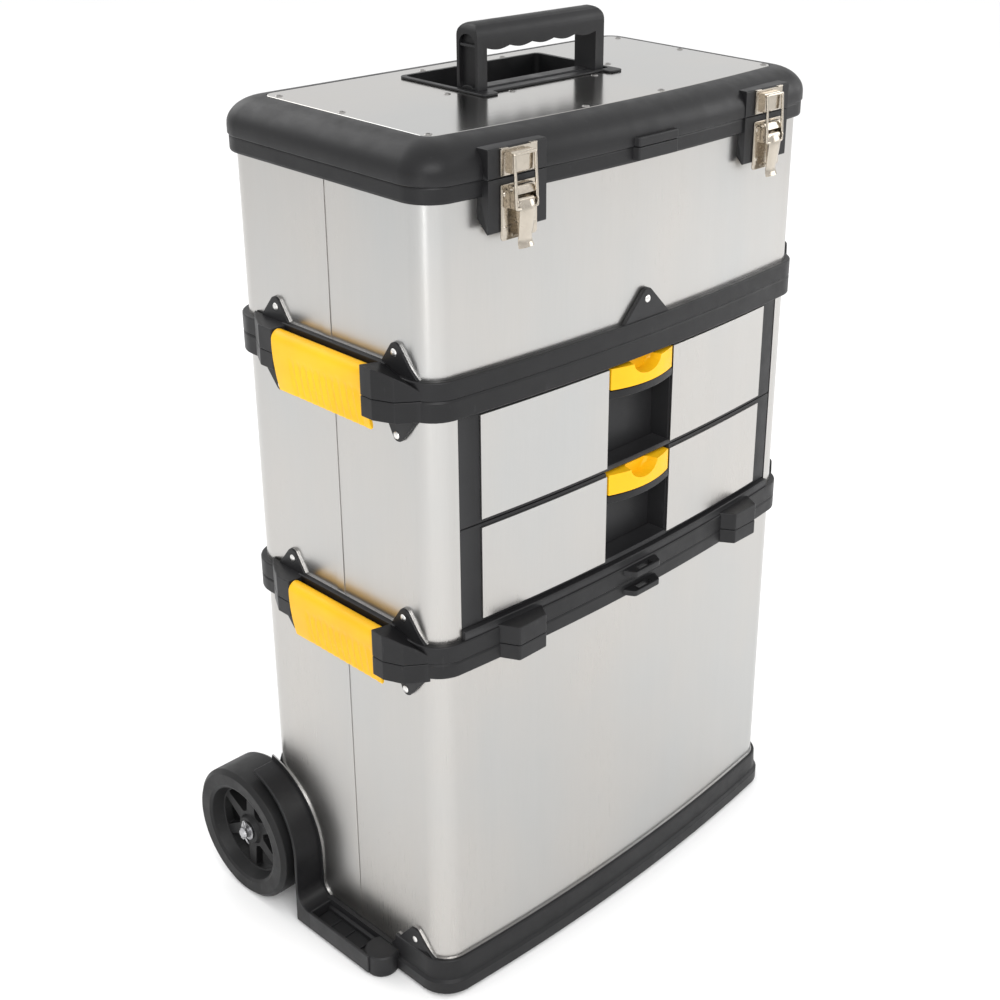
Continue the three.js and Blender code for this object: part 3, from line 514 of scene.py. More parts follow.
# ---- small hardware ----
def rivet(r, axis, sign, at, level, dome=1.4):
    """A domed head standing on a face; level is where the face is."""
    prof = [
        (0, level + sign * dome), (r * 0.5, level + sign * dome * 0.86),
        (r * 0.85, level + sign * dome * 0.5), (r, level), (r, level - sign), (0, level - sign)
    ]
    return lathe(prof, axis, at, 20)


def screw(at, z, r=3.4):
    """A pan head with a crossed slot, on the lid plate."""
    head = lathe(
        [(0, z + 0.95), (r * 0.5, z + 0.9), (r * 0.85, z + 0.6), (r, z + 0.1), (r, z - 0.6), (0, z - 0.6)],
        "z", at, 20
    )
    x, y = at
    a = box((x - r * 0.62, x + r * 0.62), (y - 0.45, y + 0.45), (z + 0.25, z + 2), 0)
    b = box((x - 0.45, x + 0.45), (y - r * 0.62, y + r * 0.62), (z + 0.25, z + 2), 0)
    return carve(head, fuse(a, b))


# ---- rims ----
WALL = 0.35


def dense(points, step=4.0):
    """The same polygon with its long edges divided."""
    out = []
    for a, b in zip(points, points[1:] + points[:1]):
        n = max(1, round(math.dist(a, b) / step))
        out += [(a[0] + (b[0] - a[0]) * k / n, a[1] + (b[1] - a[1]) * k / n) for k in range(n)]
    return out


def hug(bm):
    """Bends a flat piece on the right-hand side round the body's corners."""
    centre_front = front_y(HALF_W - CORNER_R) + CORNER_R
    for v in bm.verts:
        d = max(centre_front - v.co.y, v.co.y - (REAR - CORNER_R), 0)
        v.co.x -= CORNER_R - math.sqrt(max(CORNER_R ** 2 - min(d, 24) ** 2, 0))
    return bm


def side_tab(front, base, tip, z_run, grow=0.0):
    """One riveted tab on the right side; front and rear tabs mirror each other about the lever."""
    middle = sum(LEVER_Y) / 2
    reach = 80
    near, far = 18, 27
    up = 1 if tip > base else -1
    pts = [
        (reach - near, base - up * 9), (reach - near, base), (reach - 3.5, tip, 6), (reach + 3.5, tip, 6),
        (reach + far, z_run), (reach + far, z_run - up * 6)
    ]
    sign = -1 if front else 1
    pts = [(middle + sign * p[0], *p[1:]) for p in pts]
    shape = dense(fillet(pts, 5))
    # With grow, a thin plate behind the tab, raised by grow, shows as a lip and painted highlight along its
    # edge.
    if grow:
        return shifted(hug(prism(shape, "x", HALF_W + 0.1, HALF_W + 1.6)), z=up * grow)
    return hug(prism(shape, "x", HALF_W + WALL, HALF_W + 3.6, bevel=0.7))


def lip_and_highlight_strips(split):
    """Thin metal strips along the rising tabs and the sill between them; they stand partly for the sheet's
    edge and partly for a painted highlight line.
    """
    tabs = [side_tab(f, split + 23, split + 44, split + 15, 0.45) for f in (True, False)]
    sill = box(
        (HALF_W + 0.1, HALF_W + 1.6), (LEVER_Y[0] - 6, LEVER_Y[1] + 6), (split + 10, split + 24.45), 0.2
    )
    return both(joined(*tabs, sill))


def rivets_on_sides(z):
    heads = [rivet(3.6, "x", 1, (y, z), HALF_W + 3.5, 1.3) for y in (-84, 74.5)]
    return both(joined(*heads))


def ear_blocks(z0, z1, split, upper):
    """Blocks that hold a side latch's pin. Upper ones have a top that falls away outwards."""
    inner = HALF_W + 1
    front = fillet(
        [
            (inner, LEVER_Y[0] - 0.5), (EAR_OUT, LEVER_Y[0] - 0.5, 1.2), (EAR_OUT, -83, 3), (270, -102, 3),
            (262, -108, 4), (inner, -116)
        ],
        3
    )
    rear = fillet(
        [
            (inner, LEVER_Y[1] + 0.5), (inner, 110), (260, 98, 4), (REAR_EAR_OUT, 77, 3),
            (REAR_EAR_OUT, LEVER_Y[1] + 0.5, 1.2)
        ],
        3
    )
    bm = prism(dense(front, 6), "z", z0, z1)
    if upper:
        for v in bm.verts:
            if v.co.z > z1 - 0.1:
                u, w = EAR_OUT - v.co.x, LEVER_Y[0] - v.co.y
                v.co.z = split + 27.3 - 0.15 * u - (0.03 + 0.011 * u) * w
    low = z0 if upper else z0 + 3
    back = prism(rear, "z", low, min(z1, split + 22.5))
    return both(joined(bevelled(bm, 1.0, 3, 35), bevelled(back, 1.0, 3, 35)))


def lug_plan(x, outer, half_wall, half_face, r=2.5):
    left, right = x - half_wall, x + half_wall
    return fillet(
        [
            (left, front_y(left, 2)), (x - half_face, front_y(x, outer), r),
            (x + half_face, front_y(x, outer), r), (right, front_y(right, 2))
        ],
        3
    )


def lugs(z0, z1, bevel=1.2):
    return joined(*[prism(lug_plan(x, 21, 28, 17), "z", z0, z1, bevel, 3) for x in (-LUG_X, LUG_X)])


def padlock_eye(z0, z1):
    plate = prism(lug_plan(0, 17, 26, 18, 5), "z", z0, z1, 0.8)
    hole = box((-10, 10), (front_y(0, 14), front_y(0, 8.5)), (z0 - 2, z1 + 2), 0)
    return carve(plate, hole)


def lower_half(split, z0):
    """The rim under a split line, with the lower blocks of its ears and its hanging tabs."""
    top = split - 0.15
    prof = fillet(
        [
            (RIM, z0, 1.4), (RIM, top - 2.2, 0.6), (RIM - 1.0, top, 0.5), (RIM_IN, top, 0.6),
            (RIM_IN, z0, 0.6)
        ],
        3
    )
    parts = [sweep(prof)]
    tabs = [side_tab(f, z0 + 1, split - 45, split - 18) for f in (True, False)]
    parts.append(both(joined(*tabs)))
    parts.append(ear_blocks(split - 19, top, split, False))
    return joined(*parts)


def upper_half(split, z1):
    """The rim above a split line, with a recess behind each side latch, rising tabs and ears."""
    bottom = split + 0.15
    prof = fillet([(RIM, bottom, 0.8), (RIM, z1, 1.6), (RIM_IN, z1, 0.6), (RIM_IN, bottom, 0.6)], 3)
    recess = box(
        (HALF_W + 3.2, HALF_W + 30), (LEVER_Y[0] - 0.2, LEVER_Y[1] + 0.2), (split + 4, split + 15), 0
    )
    parts = [carve(sweep(prof), both(recess.copy()))]
    tabs = [side_tab(f, split + 23, split + 44, split + 15) for f in (True, False)]
    sill = box(
        (HALF_W + WALL, HALF_W + RIM), (LEVER_Y[0] - 6, LEVER_Y[1] + 6), (split + 10, split + 24), 1.2, 3
    )
    parts.append(both(joined(*tabs, carve(sill, recess))))
    parts.append(ear_blocks(bottom, split + 25, split, True))
    return joined(*parts)


# ---- base and bin ----
def wheel_spaces(r, inner):
    """Cutters for the room round both wheels, which runs down past the floor."""
    bm = rod("x", r, inner, 320, (WHEEL_Y, WHEEL_Z), 64, 0)
    drop = box((inner, 320), (WHEEL_Y - r, WHEEL_Y + 60), (-10, WHEEL_Z), 0)
    return both(fuse(bm, drop))


def sill_gaps():
    """Cutters for the rim above the two platforms."""
    return both(box((235, 310), (-56, 150), (26.2, 60), 0))


ARCH_OUT, PLATFORM_TOP = 283, 25


def arch_shape(outer, inner, top=100, fillet_r=18, low=4):
    """Wheel arch in y and height: a band round the wheel that runs down to the platform."""
    foot = WHEEL_Y - outer - fillet_r
    pts = arc(WHEEL_Y, WHEEL_Z, outer, top, 180, 14)
    pts += arc(foot, PLATFORM_TOP + fillet_r, fillet_r, 0, -90, 8)
    pts += [(foot, low), (WHEEL_Y - inner, low)]
    return pts + arc(WHEEL_Y, WHEEL_Z, inner, 180, top, 14)


def wheel_arch():
    """The outer edge leans out a little towards the floor."""
    bm = loft([[(x, u, v) for u, v in arch_shape(84, 80)] for x in (HALF_W + WALL, ARCH_OUT)])
    for v in bm.verts:
        if v.co.x > ARCH_OUT - 1:
            v.co.x = ARCH_OUT - 6 * min(max((v.co.z - 60) / 100, 0), 1)
    return bevelled(bm, 1.2, 3, 40)


def arch_flange():
    """Thin web that lies on the steel round the arch and along the sill."""
    pts = arch_shape(87.5, 80, 98, 16)
    return prism(pts, "x", HALF_W + WALL, HALF_W + 2.2, 0.4)


def platform():
    deck = prism(
        fillet([(HALF_W + 2, -42), (ARCH_OUT - 4, -42, 10), (ARCH_OUT, 68), (HALF_W + 2, 68)], 5), "z", 6,
        13, 1
    )
    lip = prism(
        [(ARCH_OUT - 3.5, -46), (ARCH_OUT - 0.15, -46), (ARCH_OUT - 0.15, 62), (ARCH_OUT - 3.5, 62)], "z",
        4, 25, 1
    )
    ribs = [box((HALF_W + 9, ARCH_OUT - 5), (y, y + 1.8), (5, 14.5), 0.4) for y in (-22, 2, 24, 46)]
    foot = lathe(
        [(0, 0), (14, 0), (16, 1.5), (17, 5), (17, 23.5), (15.8, 25), (0, 25)], "z", (ARCH_OUT - 19, -45.5),
        36
    )
    web = prism(
        [
            (HALF_W + 3, -61), (ARCH_OUT - 19, -62), (ARCH_OUT - 5, -55), (ARCH_OUT - 2, -44),
            (HALF_W + 3, -38)
        ],
        "z", 4, 24.6, 1
    )
    return joined(deck, lip, foot, web, *ribs)


def base_tab(grow=0.0):
    pts = dense(fillet([(-118, 20), (-116, 36, 12), (-87, 65, 6), (-79, 64, 6), (-46, 24), (-46, 20)], 5))
    # With grow, a thin plate behind the tab, raised by grow, shows as a lip and painted highlight along its
    # edge.
    if grow:
        return shifted(hug(prism(pts, "x", HALF_W + 0.1, HALF_W + 1.4)), z=grow)
    return hug(prism(pts, "x", HALF_W + WALL, HALF_W + 3.8, 0.8))


def base_shell():
    """Rim with a foot flange, then the floor between."""
    prof = fillet([
        (WALL, 42, 0.5), (4.6, 42, 1.6), (5.4, 19.5, 1.6), (8.3, 17.2, 1.0), (8.3, 4, 1.2), (4.2, 4, 0.8),
        (3.4, 11, 0.8),
        (-7, 11, 0.5), (-7, 13.9, 0.5), (WALL, 14.2, 0.3),
    ], 3)
    ring = sweep(prof)
    inner = sweep(fillet([(-2.5, 14, 0.3), (-2.5, 41, 0.5), (-7, 41, 0.5), (-7, 14, 0.3)], 2))
    floor = slab([(-5, 8.5), (-5, 13.8)])
    space = wheel_spaces(80, 239.5)
    body = carve(ring, sill_gaps(), space.copy())
    return [body, carve(inner, space.copy()), carve(floor, space)]


def well_inner():
    """The flat wall behind a wheel, with the bearing boss behind it."""
    edge = REAR + 8.3
    pts = [(WHEEL_Y - 84, 4)] + arc(WHEEL_Y, WHEEL_Z, 84, 180, 98, 12)
    pts = [p for p in pts if p[0] <= edge] + [(edge, 60 + WHEEL_Z), (edge, 4)]
    plate = prism(pts, "x", 236, 239.4, 0.5)
    disc = rod("x", 16, 236, 239.4, (WHEEL_Y, WHEEL_Z), 28)
    boss = box((206, 237), (REAR + 0.6, WHEEL_Y + 13), (4, WHEEL_Z + 16), 2, 3)
    ribs = [
        box((206 + k * 9, 208 + k * 9), (REAR + 0.6, WHEEL_Y + 13.9), (6, WHEEL_Z + 12), 0.4)
        for k in range(4)
    ]
    return joined(plate, disc, boss, *ribs)


def underside_ribs():
    deep = [box((x - 1.2, x + 1.2), (-120, 128), (5, 9), 0.3) for x in range(-200, 201, 50)]
    wide = [box((-238, 238), (y - 1.2, y + 1.2), (5, 9), 0.3) for y in (-80, 0, 80)]
    return joined(*deep, *wide)


def build_base():
    right = joined(wheel_arch(), arch_flange(), platform(), base_tab(), well_inner())
    parts = [(BLACK, p) for p in base_shell()]
    parts += [(BLACK, both(right)), (BLACK, underside_ribs())]
    parts.append((RIVET, both(rivet(3.4, "x", 1, (-84.7, 52.5), HALF_W + 3.7, 1.2))))
    # Thin metal trims round the arch and along the top of the base rim: partly a steel lip, partly a
    # painted highlight line.
    housing = prism(arch_shape(87.9, 80, 98, 15.6), "x", HALF_W + 0.1, HALF_W + 1.4)
    band = sweep([(0.1, 41), (0.1, 42.4), (1.2, 42.4), (1.2, 41)])
    band = carve(band, sill_gaps(), wheel_spaces(88, 235))
    parts.append((LIP_AND_HIGHLIGHT_TRIM, joined(both(joined(housing, base_tab(0.4))), band)))
    piece("base_shell", "bin", "base", parts)


def sleeve(z0, z1, cut_front=False, cut_wheels=False):
    prof = [(0, z0), (0, z1), (-1.2, z1), (-1.2, z0)]
    bm = sweep(prof)
    if cut_wheels:
        bm = carve(bm, wheel_spaces(84.4, 235.5))
    if cut_front:
        bm = carve(bm, box((-OPENING_HALF, OPENING_HALF), (-200, -60), (0, 900), 0))
    return bm


def seam_lap(z0, z1, y=12):
    """The folded joint where the sheet's two ends meet, on each side."""
    lap = box((HALF_W + 0.05, HALF_W + 0.75), (y - 11, y), (z0, z1), 0.3)
    return both(lap)


# ---- drawers ----
DRAWERS = {"lower": (407, 505.2), "upper": (506.2, 612.5)}
FRONT_HALF = OPENING_HALF - 0.8
BAY = 45


def pull_plan(half, bulge, back, steps=18):
    pts = [(-half, back)]
    for k in range(steps + 1):
        x = half * (2 * k / steps - 1)
        t = 1 - (x / half) ** 2
        pts.append((x, front_y(half, 1) + (front_y(0, bulge) - front_y(half, 1)) * t))
    pts.append((half, back))
    return pts


def drawer_front(z0, z1):
    pull0 = z1 - 24
    bars = []
    side_prof = fillet([(-0.6, z0, 0.8), (-0.6, z1, 0.8), (-9, z1), (-9, z0)], 3)
    bars.append(strip(side_prof, -FRONT_HALF, -BAY - 0.6, 12))
    bars.append(strip(side_prof, BAY + 0.6, FRONT_HALF, 12))
    low = fillet([(-0.6, z0, 0.6), (-0.6, z0 + 5, 0.8), (-22, z0 + 5), (-22, z0)], 3)
    bars.append(strip(low, -BAY - 1, BAY + 1, 8))
    bars.append(box((-BAY - 6, BAY + 6), (-112, -98), (z0 + 0.5, z1 - 0.5), 0.6))
    for s in (-1, 1):
        x = span(s, BAY, BAY + 5)
        bars.append(box(x, (-134, -100), (z0 + 0.5, z1 - 0.5), 0.6))
    lip = prism(pull_plan(PULL_HALF + 1.5, 8, -126), "z", pull0 - 9, pull0 - 1.1, 1.2, 3)
    bars.append(lip)
    bars.append(box((-BAY - 1, BAY + 1), (-130, -110), (pull0 - 8.5, pull0 - 1.5), 0.4))
    bars.append(box((-BAY, BAY), (-115.5, -105), (pull0 - 3, z1 - 0.6), 0.4))
    return bars


def drawer_tub(z0):
    s = 207.3
    top = z0 + 74
    floor = box((-s, s), (-116, 114), (z0 + 0.5, z0 + 3.5), 0.8)
    back = box((-s, s), (111, 114), (z0 + 1, top), 0.8)
    front = box((-s, s), (-104, -98), (z0 + 1, z0 + 92), 0.8)
    walls = [box((a, b), (-112, 113), (z0 + 1, top), 0.8) for a, b in ((-s, -s + 3), (s - 3, s))]
    lipped = [box((a, b), (-112, 113), (top - 3, top), 0.6) for a, b in ((-s, -s + 5), (s - 5, s))]
    ribs = [box((x - 1, x + 1), (-98, 111.5), (z0 + 3, z0 + 5), 0.3) for x in (-140, -70, 0, 70, 140)]
    divider = [box((-s + 2, s - 2), (8, 10), (z0 + 3, z0 + 45), 0.5)]
    return [floor, back, front, *walls, *lipped, *ribs, *divider]


def front_plate(z0, z1, sign):
    xs = span(sign, BAY + 0.6, 198.5)
    prof = fillet([(0.9, z0 + 3.5, 0.5), (0.9, z1 - 3.5, 0.5), (-0.4, z1 - 3.5), (-0.4, z0 + 3.5)], 2)
    return strip(prof, *xs, steps=14)


PULL_HALF = 43


def drawer_pull(z1):
    """Yellow latch: bulged lip, U-shaped scoop at the top with a sloping floor."""
    top = z1 - 3
    low = top - 21
    bm = prism(pull_plan(PULL_HALF, 9, -127, 28), "z", low, top)
    scoop_pts = arc(0, top + 1, (19.5, 13), 180, 360, 12) + [(19.5, top + 4), (-19.5, top + 4)]
    scoop = loft(
        [
            [(u * w, y, v) for u, v in scoop_pts]
            for y, w in ((-150, 1.12), (-146, 1.0), (-134, 0.86), (-131.5, 0.7))
        ]
    )
    bm = carve(bm, scoop)
    hollow = box((-PULL_HALF + 3, PULL_HALF - 3), (-130.5, -120), (low - 1, top - 5), 0)
    bm = carve(bm, hollow)
    bevelled(bm, 0.9, 2, 35)
    tongue = box((-14, 14), (-130, -117.5), (top - 6, top - 3), 0.5)
    return joined(bm, tongue)


def build_drawers():
    for level, (z0, z1) in DRAWERS.items():
        parts = [(BLACK, b) for b in drawer_front(z0, z1)] + [(BLACK, b) for b in drawer_tub(z0)]
        piece(f"drawer_{level}_body", f"drawer_{level}", f"drawer_{level}", parts)
        for name, sign in SIDES:
            plate = front_plate(z0, z1, sign)
            piece(
                f"drawer_{level}_panel_{name}", f"drawer_{level}", f"drawer_{level}_plate_{name}",
                [(STEEL, plate)]
            )
        pull = drawer_pull(z1)
        piece(f"drawer_{level}_latch", f"drawer_latch_{level}", f"drawer_{level}_pull", [(YELLOW, pull)])


def build_case():
    steel = sleeve(385.3, 622, cut_front=True)
    returns = []
    for s in (-1, 1):
        x = span(s, OPENING_HALF, OPENING_HALF + 1.2)
        returns.append(box(x, (-125, -112), (400, 614), 0.2))
    piece(
        "case_sleeve_sheet", "drawer_unit", "case_sleeve",
        [(STEEL, joined(steel, seam_lap(399, 613))), (STEEL, joined(*returns))]
    )
    split = SPLITS[0]
    low = [upper_half(split, 398)]
    sill = strip(
        fillet([(4.2, 396, 0.5), (4.2, 406, 1.2), (RIM_IN, 406, 0.5), (RIM_IN, 396)], 3),
        -OPENING_HALF + 0.5, OPENING_HALF - 0.5, 20
    )
    low += [
        sill, lugs(split + 0.2, 400), padlock_eye(split + 8, split + 14),
        slab([(RIM_IN + 1, 381.4), (RIM_IN + 1, 384)])
    ]
    heads = [(RIVET, rivets_on_sides(split + 35))]
    piece(
        "case_rim_lower", "drawer_unit", "case_lower_rim",
        [(BLACK, b) for b in low] + heads + [(LIP_AND_HIGHLIGHT_TRIM, lip_and_highlight_strips(split))]
    )
    up = [lower_half(SPLITS[1], 613.5), slab([(RIM_IN + 1, 628.8), (RIM_IN + 1, 631.8)])]
    piece(
        "case_rim_upper", "drawer_unit", "case_upper_rim",
        [(BLACK, b) for b in up] + [(RIVET, rivets_on_sides(SPLITS[1] - 39.5))]
    )
    run = 208
    inside = [box((a, b), (-112, 122), (384.4, 628.4), 0.5) for a, b in ((run, run + 3), (-run - 3, -run))]
    inside.append(box((-209, 209), (119, 122), (384.4, 628.4), 0.5))
    inside.append(box((-209, 209), (-96, 120), (502.5, 505.5), 0.5))
    for z in (406, 506.5):
        inside += [box((a, b), (-112, 120), (z - 3, z), 0.4) for a, b in ((204, 209), (-209, -204))]
    for s in (-1, 1):
        x = span(s, 209, 240)
        inside.append(box(x, (-113, -110), (398, 620), 0.4))
    # The inner frame takes the darker black plastic: painted shade inside the case.
    piece("case_frame", "drawer_unit", "drawer_frame", [(BLACK_SHADED_INSIDE, b) for b in inside])


def build_bin():
    steel = sleeve(15.3, 372, cut_wheels=True)
    lap = seam_lap(27, 365)
    piece("bin_sleeve_sheet", "bin", "bin_sleeve", [(STEEL, joined(steel, lap))])
    split = SPLITS[0]
    parts = [lower_half(split, 365.5), lugs(365.5, split - 0.2), padlock_eye(split - 13, split - 7)]
    piece(
        "bin_rim", "bin", "bin_top_rim",
        [(BLACK, b) for b in parts] + [(RIVET, rivets_on_sides(split - 39.5))]
    )


# ---- wheels ----
def wheel_solid():
    """A moulded wheel: flat rim face, dished web with six windows, hub."""
    r = WHEEL_R
    out, inn = 290, 241
    face, web = out - 1.0, 276
    prof = fillet([
        (6.3, inn, 0), (14, inn, 1), (16, web - 8, 1.5), (54, web - 8, 2), (56.5, inn, 1),
        (r - 3, inn, 1.5), (r, inn + 4, 1.5),
        (r, out - 4, 2), (r - 4.5, out, 2), (56, face + 0.4, 1.2), (52.5, out - 2.2, 1.2), (48, web, 1.5),
        (17, web, 1.5), (14.5, 280, 1.2), (6.3, 280, 0.4),
    ], 3)
    bm = lathe(prof, "x", (0, 0), 72)
    holes = []
    for k in range(6):
        shape = fillet(
            [(20, -3.5, 1.5), (43.5, -19.5, 2.5), (46.5, 0, 30), (43.5, 19.5, 2.5), (20, 3.5, 1.5)], 3
        )
        a = math.radians(60 * k + 2)
        pts = [(u * math.cos(a) - v * math.sin(a), u * math.sin(a) + v * math.cos(a)) for u, v in shape]
        holes.append(prism(pts, "x", web - 12, web + 3))
    bm = carve(bm, joined(*holes))
    return shifted(bm, 0, WHEEL_Y, WHEEL_Z)


def build_wheels():
    for name, s in SIDES:
        piece(
            f"wheel_{name}_moulding", f"wheel_{name}", f"wheel_{name}",
            [(WHEEL_BLACK, side(wheel_solid(), s))], 30
        )
    axle = lathe(
        [(0, -288.5), (4.2, -288.5), (6, -286.5), (6, 286.5), (4.2, 288.5), (0, 288.5)], "x",
        (WHEEL_Y, WHEEL_Z), 24
    )
    piece("axle_bar", "bin", "axle", [(ZINC, axle)])
    for name, s in SIDES:
        ring = lathe(
            fillet([(6.4, 280.4, 0.2), (10, 280.4, 0.3), (10, 282, 0.5), (6.4, 282, 0.3)], 2), "x",
            (WHEEL_Y, WHEEL_Z), 28
        )
        piece(f"washer_plate_{name}", "bin", f"washer_{name}", [(ZINC, side(ring, s))])
        x = 284.5
        y, z = WHEEL_Y, WHEEL_Z
        loop = [
            (x, y + 0.9, z - 8.5), (x, y + 0.9, z + 8), (x, y + 3.2, z + 12), (x, y, z + 15),
            (x, y - 3.2, z + 12), (x, y - 0.9, z + 8), (x, y - 0.9, z - 9)
        ]
        wire = [tube(bend(loop, 1.6, 4), 0.8, 8)]
        wire.append(
            tube(bend([(x, y + 0.9, z - 8.2), (x, y + 3, z - 11), (x, y + 7, z - 10)], 1.5, 4), 0.8, 8)
        )
        wire.append(
            tube(
                bend([(x, y - 0.9, z - 8.7), (x, y - 3, z - 11.4), (x, y - 6.4, z - 11.5)], 1.5, 4), 0.8, 8
            )
        )
        piece(f"split_pin_{name}", "bin", f"cotter_pin_{name}", [(ZINC, side(joined(*wire), s))])


# ---- pull-out handle ----
def build_trolley():
    for name, s in SIDES:
        x = s * TUBE_X
        outer = lathe(
            fillet([(9.5, 84, 0), (11, 82, 0.6), (11, 560, 0.8), (9.5, 560, 0.4)], 3), "z", (x, TUBE_Y), 36
        )
        collar = bush((9.4, 12.2), (0.3, 1), 545, 561, "z", (x, TUBE_Y))
        piece(f"outer_tube_{name}", "bin", f"guide_tube_{name}", [(CHROME, outer), (BLACK, collar)])
        inner = lathe([(0, 100), (9, 100), (9, 770), (0, 770)], "z", (x, TUBE_Y), 36)
        piece(f"slide_tube_{name}", "trolley_handle", f"inner_tube_{name}", [(CHROME, inner)], 40)
    for label, (z0, z1) in (("lower", (86, 114)), ("upper", (320, 350))):
        wall = REAR
        bits = [box((-140, 140), (wall + 0.4, wall + 4.8), (z0, z1), 1.2, 3)]
        bits += [box((-138, 138), (wall + 4, wall + 7), (z, z + 2.4), 0.6) for z in (z0 + 4, z1 - 6.4)]
        for s in (-1, 1):
            x = s * TUBE_X
            clamp = bush((11.3, 15), (0.3, 1.5), z0, z1, "z", (x, TUBE_Y))
            foot = box((x - 15, x + 15), (wall + 0.5, TUBE_Y - 10.9), (z0 + 0.5, z1 - 0.5), 1, 2)
            bits += [clamp, foot]
        heads = [rivet(3.4, "y", 1, (x, (z0 + z1) / 2), wall + 4.7, 1.2) for x in (-95, -40, 40, 95)]
        piece(
            f"bracket_{label}", "bin", f"handle_bracket_{label}",
            [(BLACK, joined(*bits)), (RIVET, joined(*heads))]
        )
    z0, z1 = 758, 794
    ends = [
        lathe(fillet([(0, z0), (12, z0, 1.6), (12, z1, 5), (0, z1)], 5), "z", (s * TUBE_X, TUBE_Y), 36)
        for s in (-1, 1)
    ]
    section = fillet(
        [(TUBE_Y - 12, z1 - 24, 8), (TUBE_Y + 12, z1 - 24, 8), (TUBE_Y + 12, z1, 9), (TUBE_Y - 12, z1, 9)],
        6
    )
    bar = loft([[(x, u, v) for u, v in section] for x in (-TUBE_X, TUBE_X)])
    slot = box((-16.3, 16.3), (TUBE_Y - 6.3, TUBE_Y + 6.3), (z1 - 13, z1 + 3), 0)
    bar = carve(bar, slot)
    ribs = []
    for s in (-1, 1):
        for k in range(9):
            x = s * (36 + k * 8)
            ring = fillet(
                [
                    (TUBE_Y - 12.0, z1 - 24, 8), (TUBE_Y + 12.0, z1 - 24, 8), (TUBE_Y + 12.0, z1, 9),
                    (TUBE_Y - 12.0, z1, 9)
                ],
                6
            )
            ribs.append(
                loft(
                    [
                        [(x + d, TUBE_Y + (u - TUBE_Y) * g, z1 - 12 + (v - z1 + 12) * g) for u, v in ring]
                        for d, g in ((-1.6, 0.97), (-0.8, 1.0), (0.8, 1.0), (1.6, 0.97))
                    ]
                )
            )
    piece(
        "trolley_grip_bar", "trolley_handle", "trolley_grip",
        [(BLACK, joined(bar, *ends)), (BLACK, joined(*ribs))]
    )
    button = prism(
        fillet(
            [
                (-15.7, TUBE_Y - 5.7, 3.5), (15.7, TUBE_Y - 5.7, 3.5), (15.7, TUBE_Y + 5.7, 3.5),
                (-15.7, TUBE_Y + 5.7, 3.5)
            ],
            4
        ),
        "z", z1 - 5, z1 + 2, 0.9, 3
    )
    lines = [
        box((x - 0.6, x + 0.6), (TUBE_Y - 4, TUBE_Y + 4), (z1 + 1.5, z1 + 2.4), 0.2)
        for x in (-8, -4, 0, 4, 8)
    ]
    piece("release_button_cap", "trolley_button", "release_button", [(YELLOW, joined(button, *lines))])


# ---- side latches ----
LEVER_X, LEVER_UP = 265, 13


def side_lever(split):
    """Curved cover with a round head; fine flutes over its lower part give grip."""
    x0, z0 = LEVER_X, split + LEVER_UP
    outer = []
    for k in range(19):
        t = k / 18
        outer.append(
            (
                (1 - t) ** 2 * (x0 + 7.9) + 2 * t * (1 - t) * (x0 + 8.2) + t * t * (x0 + 2),
                z0 + 2 * t * (1 - t) * -22 + t * t * -48
            )
        )
    inner = []
    for k in range(13):
        t = k / 12
        inner.append(
            (
                (1 - t) ** 2 * (x0 - 0.6) + 2 * t * (1 - t) * (x0 + 4.2) + t * t * (x0 + 3.6),
                z0 + (1 - t) ** 2 * -47.2 + 2 * t * (1 - t) * -26 + t * t * -7.5
            )
        )
    head = []
    for k in range(15):
        a = math.radians(235 * (1 - k / 14))
        head.append((x0 + 7.9 * math.cos(a), z0 + (8.9 if a < math.pi else 7.4) * math.sin(a)))
    section = head[:-1] + outer + inner
    flutes = 11
    lo, hi = LEVER_Y[0] + 6, LEVER_Y[1] - 22
    pitch = (hi - lo) / flutes
    n_outer = len(outer)
    stations = [LEVER_Y[0] + 0.25, LEVER_Y[0] + 1.2]
    for k in range(flutes):
        a = lo + k * pitch
        stations += [a, a + pitch * 0.3, a + pitch * 0.5, a + pitch * 0.7]
    stations += [hi, LEVER_Y[1] - 1.2, LEVER_Y[1] - 0.25]
    sections = []
    for y in stations:
        inset = 0.7 if y in (stations[0], stations[-1]) else 0
        depth = 0
        if lo < y < hi:
            phase = ((y - lo) / pitch) % 1
            depth = 1.5 * max(0, math.cos((phase - 0.5) * math.pi)) ** 1.5 if 0.05 < phase < 0.95 else 0
        loop = []
        for i, (u, v) in enumerate(section):
            du = 0
            if len(head) - 1 <= i < len(head) - 1 + n_outer:
                f = (i - len(head) + 1) / n_outer
                fade = min(max((f - 0.2) / 0.12, 0), 1) * min(max((0.97 - f) / 0.06, 0), 1)
                du = -depth * fade
            if inset:
                du -= inset * (1 if u > x0 else -1) * 0.6
            loop.append((u + du, y, v))
        sections.append(loop)
    body = loft(sections)
    hook = box((x0 - 7, x0 + 4), (-22, 12), (z0 - 35, z0 - 32), 0.5)
    return joined(body, hook)


def build_side_latches():
    for level, split in (("lower", SPLITS[0]), ("upper", SPLITS[1])):
        owner = "drawer_unit" if level == "lower" else "top_box"
        for name, s in SIDES:
            piece(
                f"side_lever_{level}_{name}", f"side_latch_{level}_{name}", f"side_latch_{level}_{name}",
                [(YELLOW, side(side_lever(split), s))], 40
            )
            pin = rod("y", 3, LEVER_Y[0] - 12, LEVER_Y[1] + 12, (LEVER_X, split + LEVER_UP), 16)
            piece(
                f"side_pin_{level}_{name}", owner, f"side_latch_pin_{level}_{name}", [(ZINC, side(pin, s))]
            )


# ---- top box ----
PAD_HALF = 33
PAD_FACE = front_y(LATCH_X, 10.5)


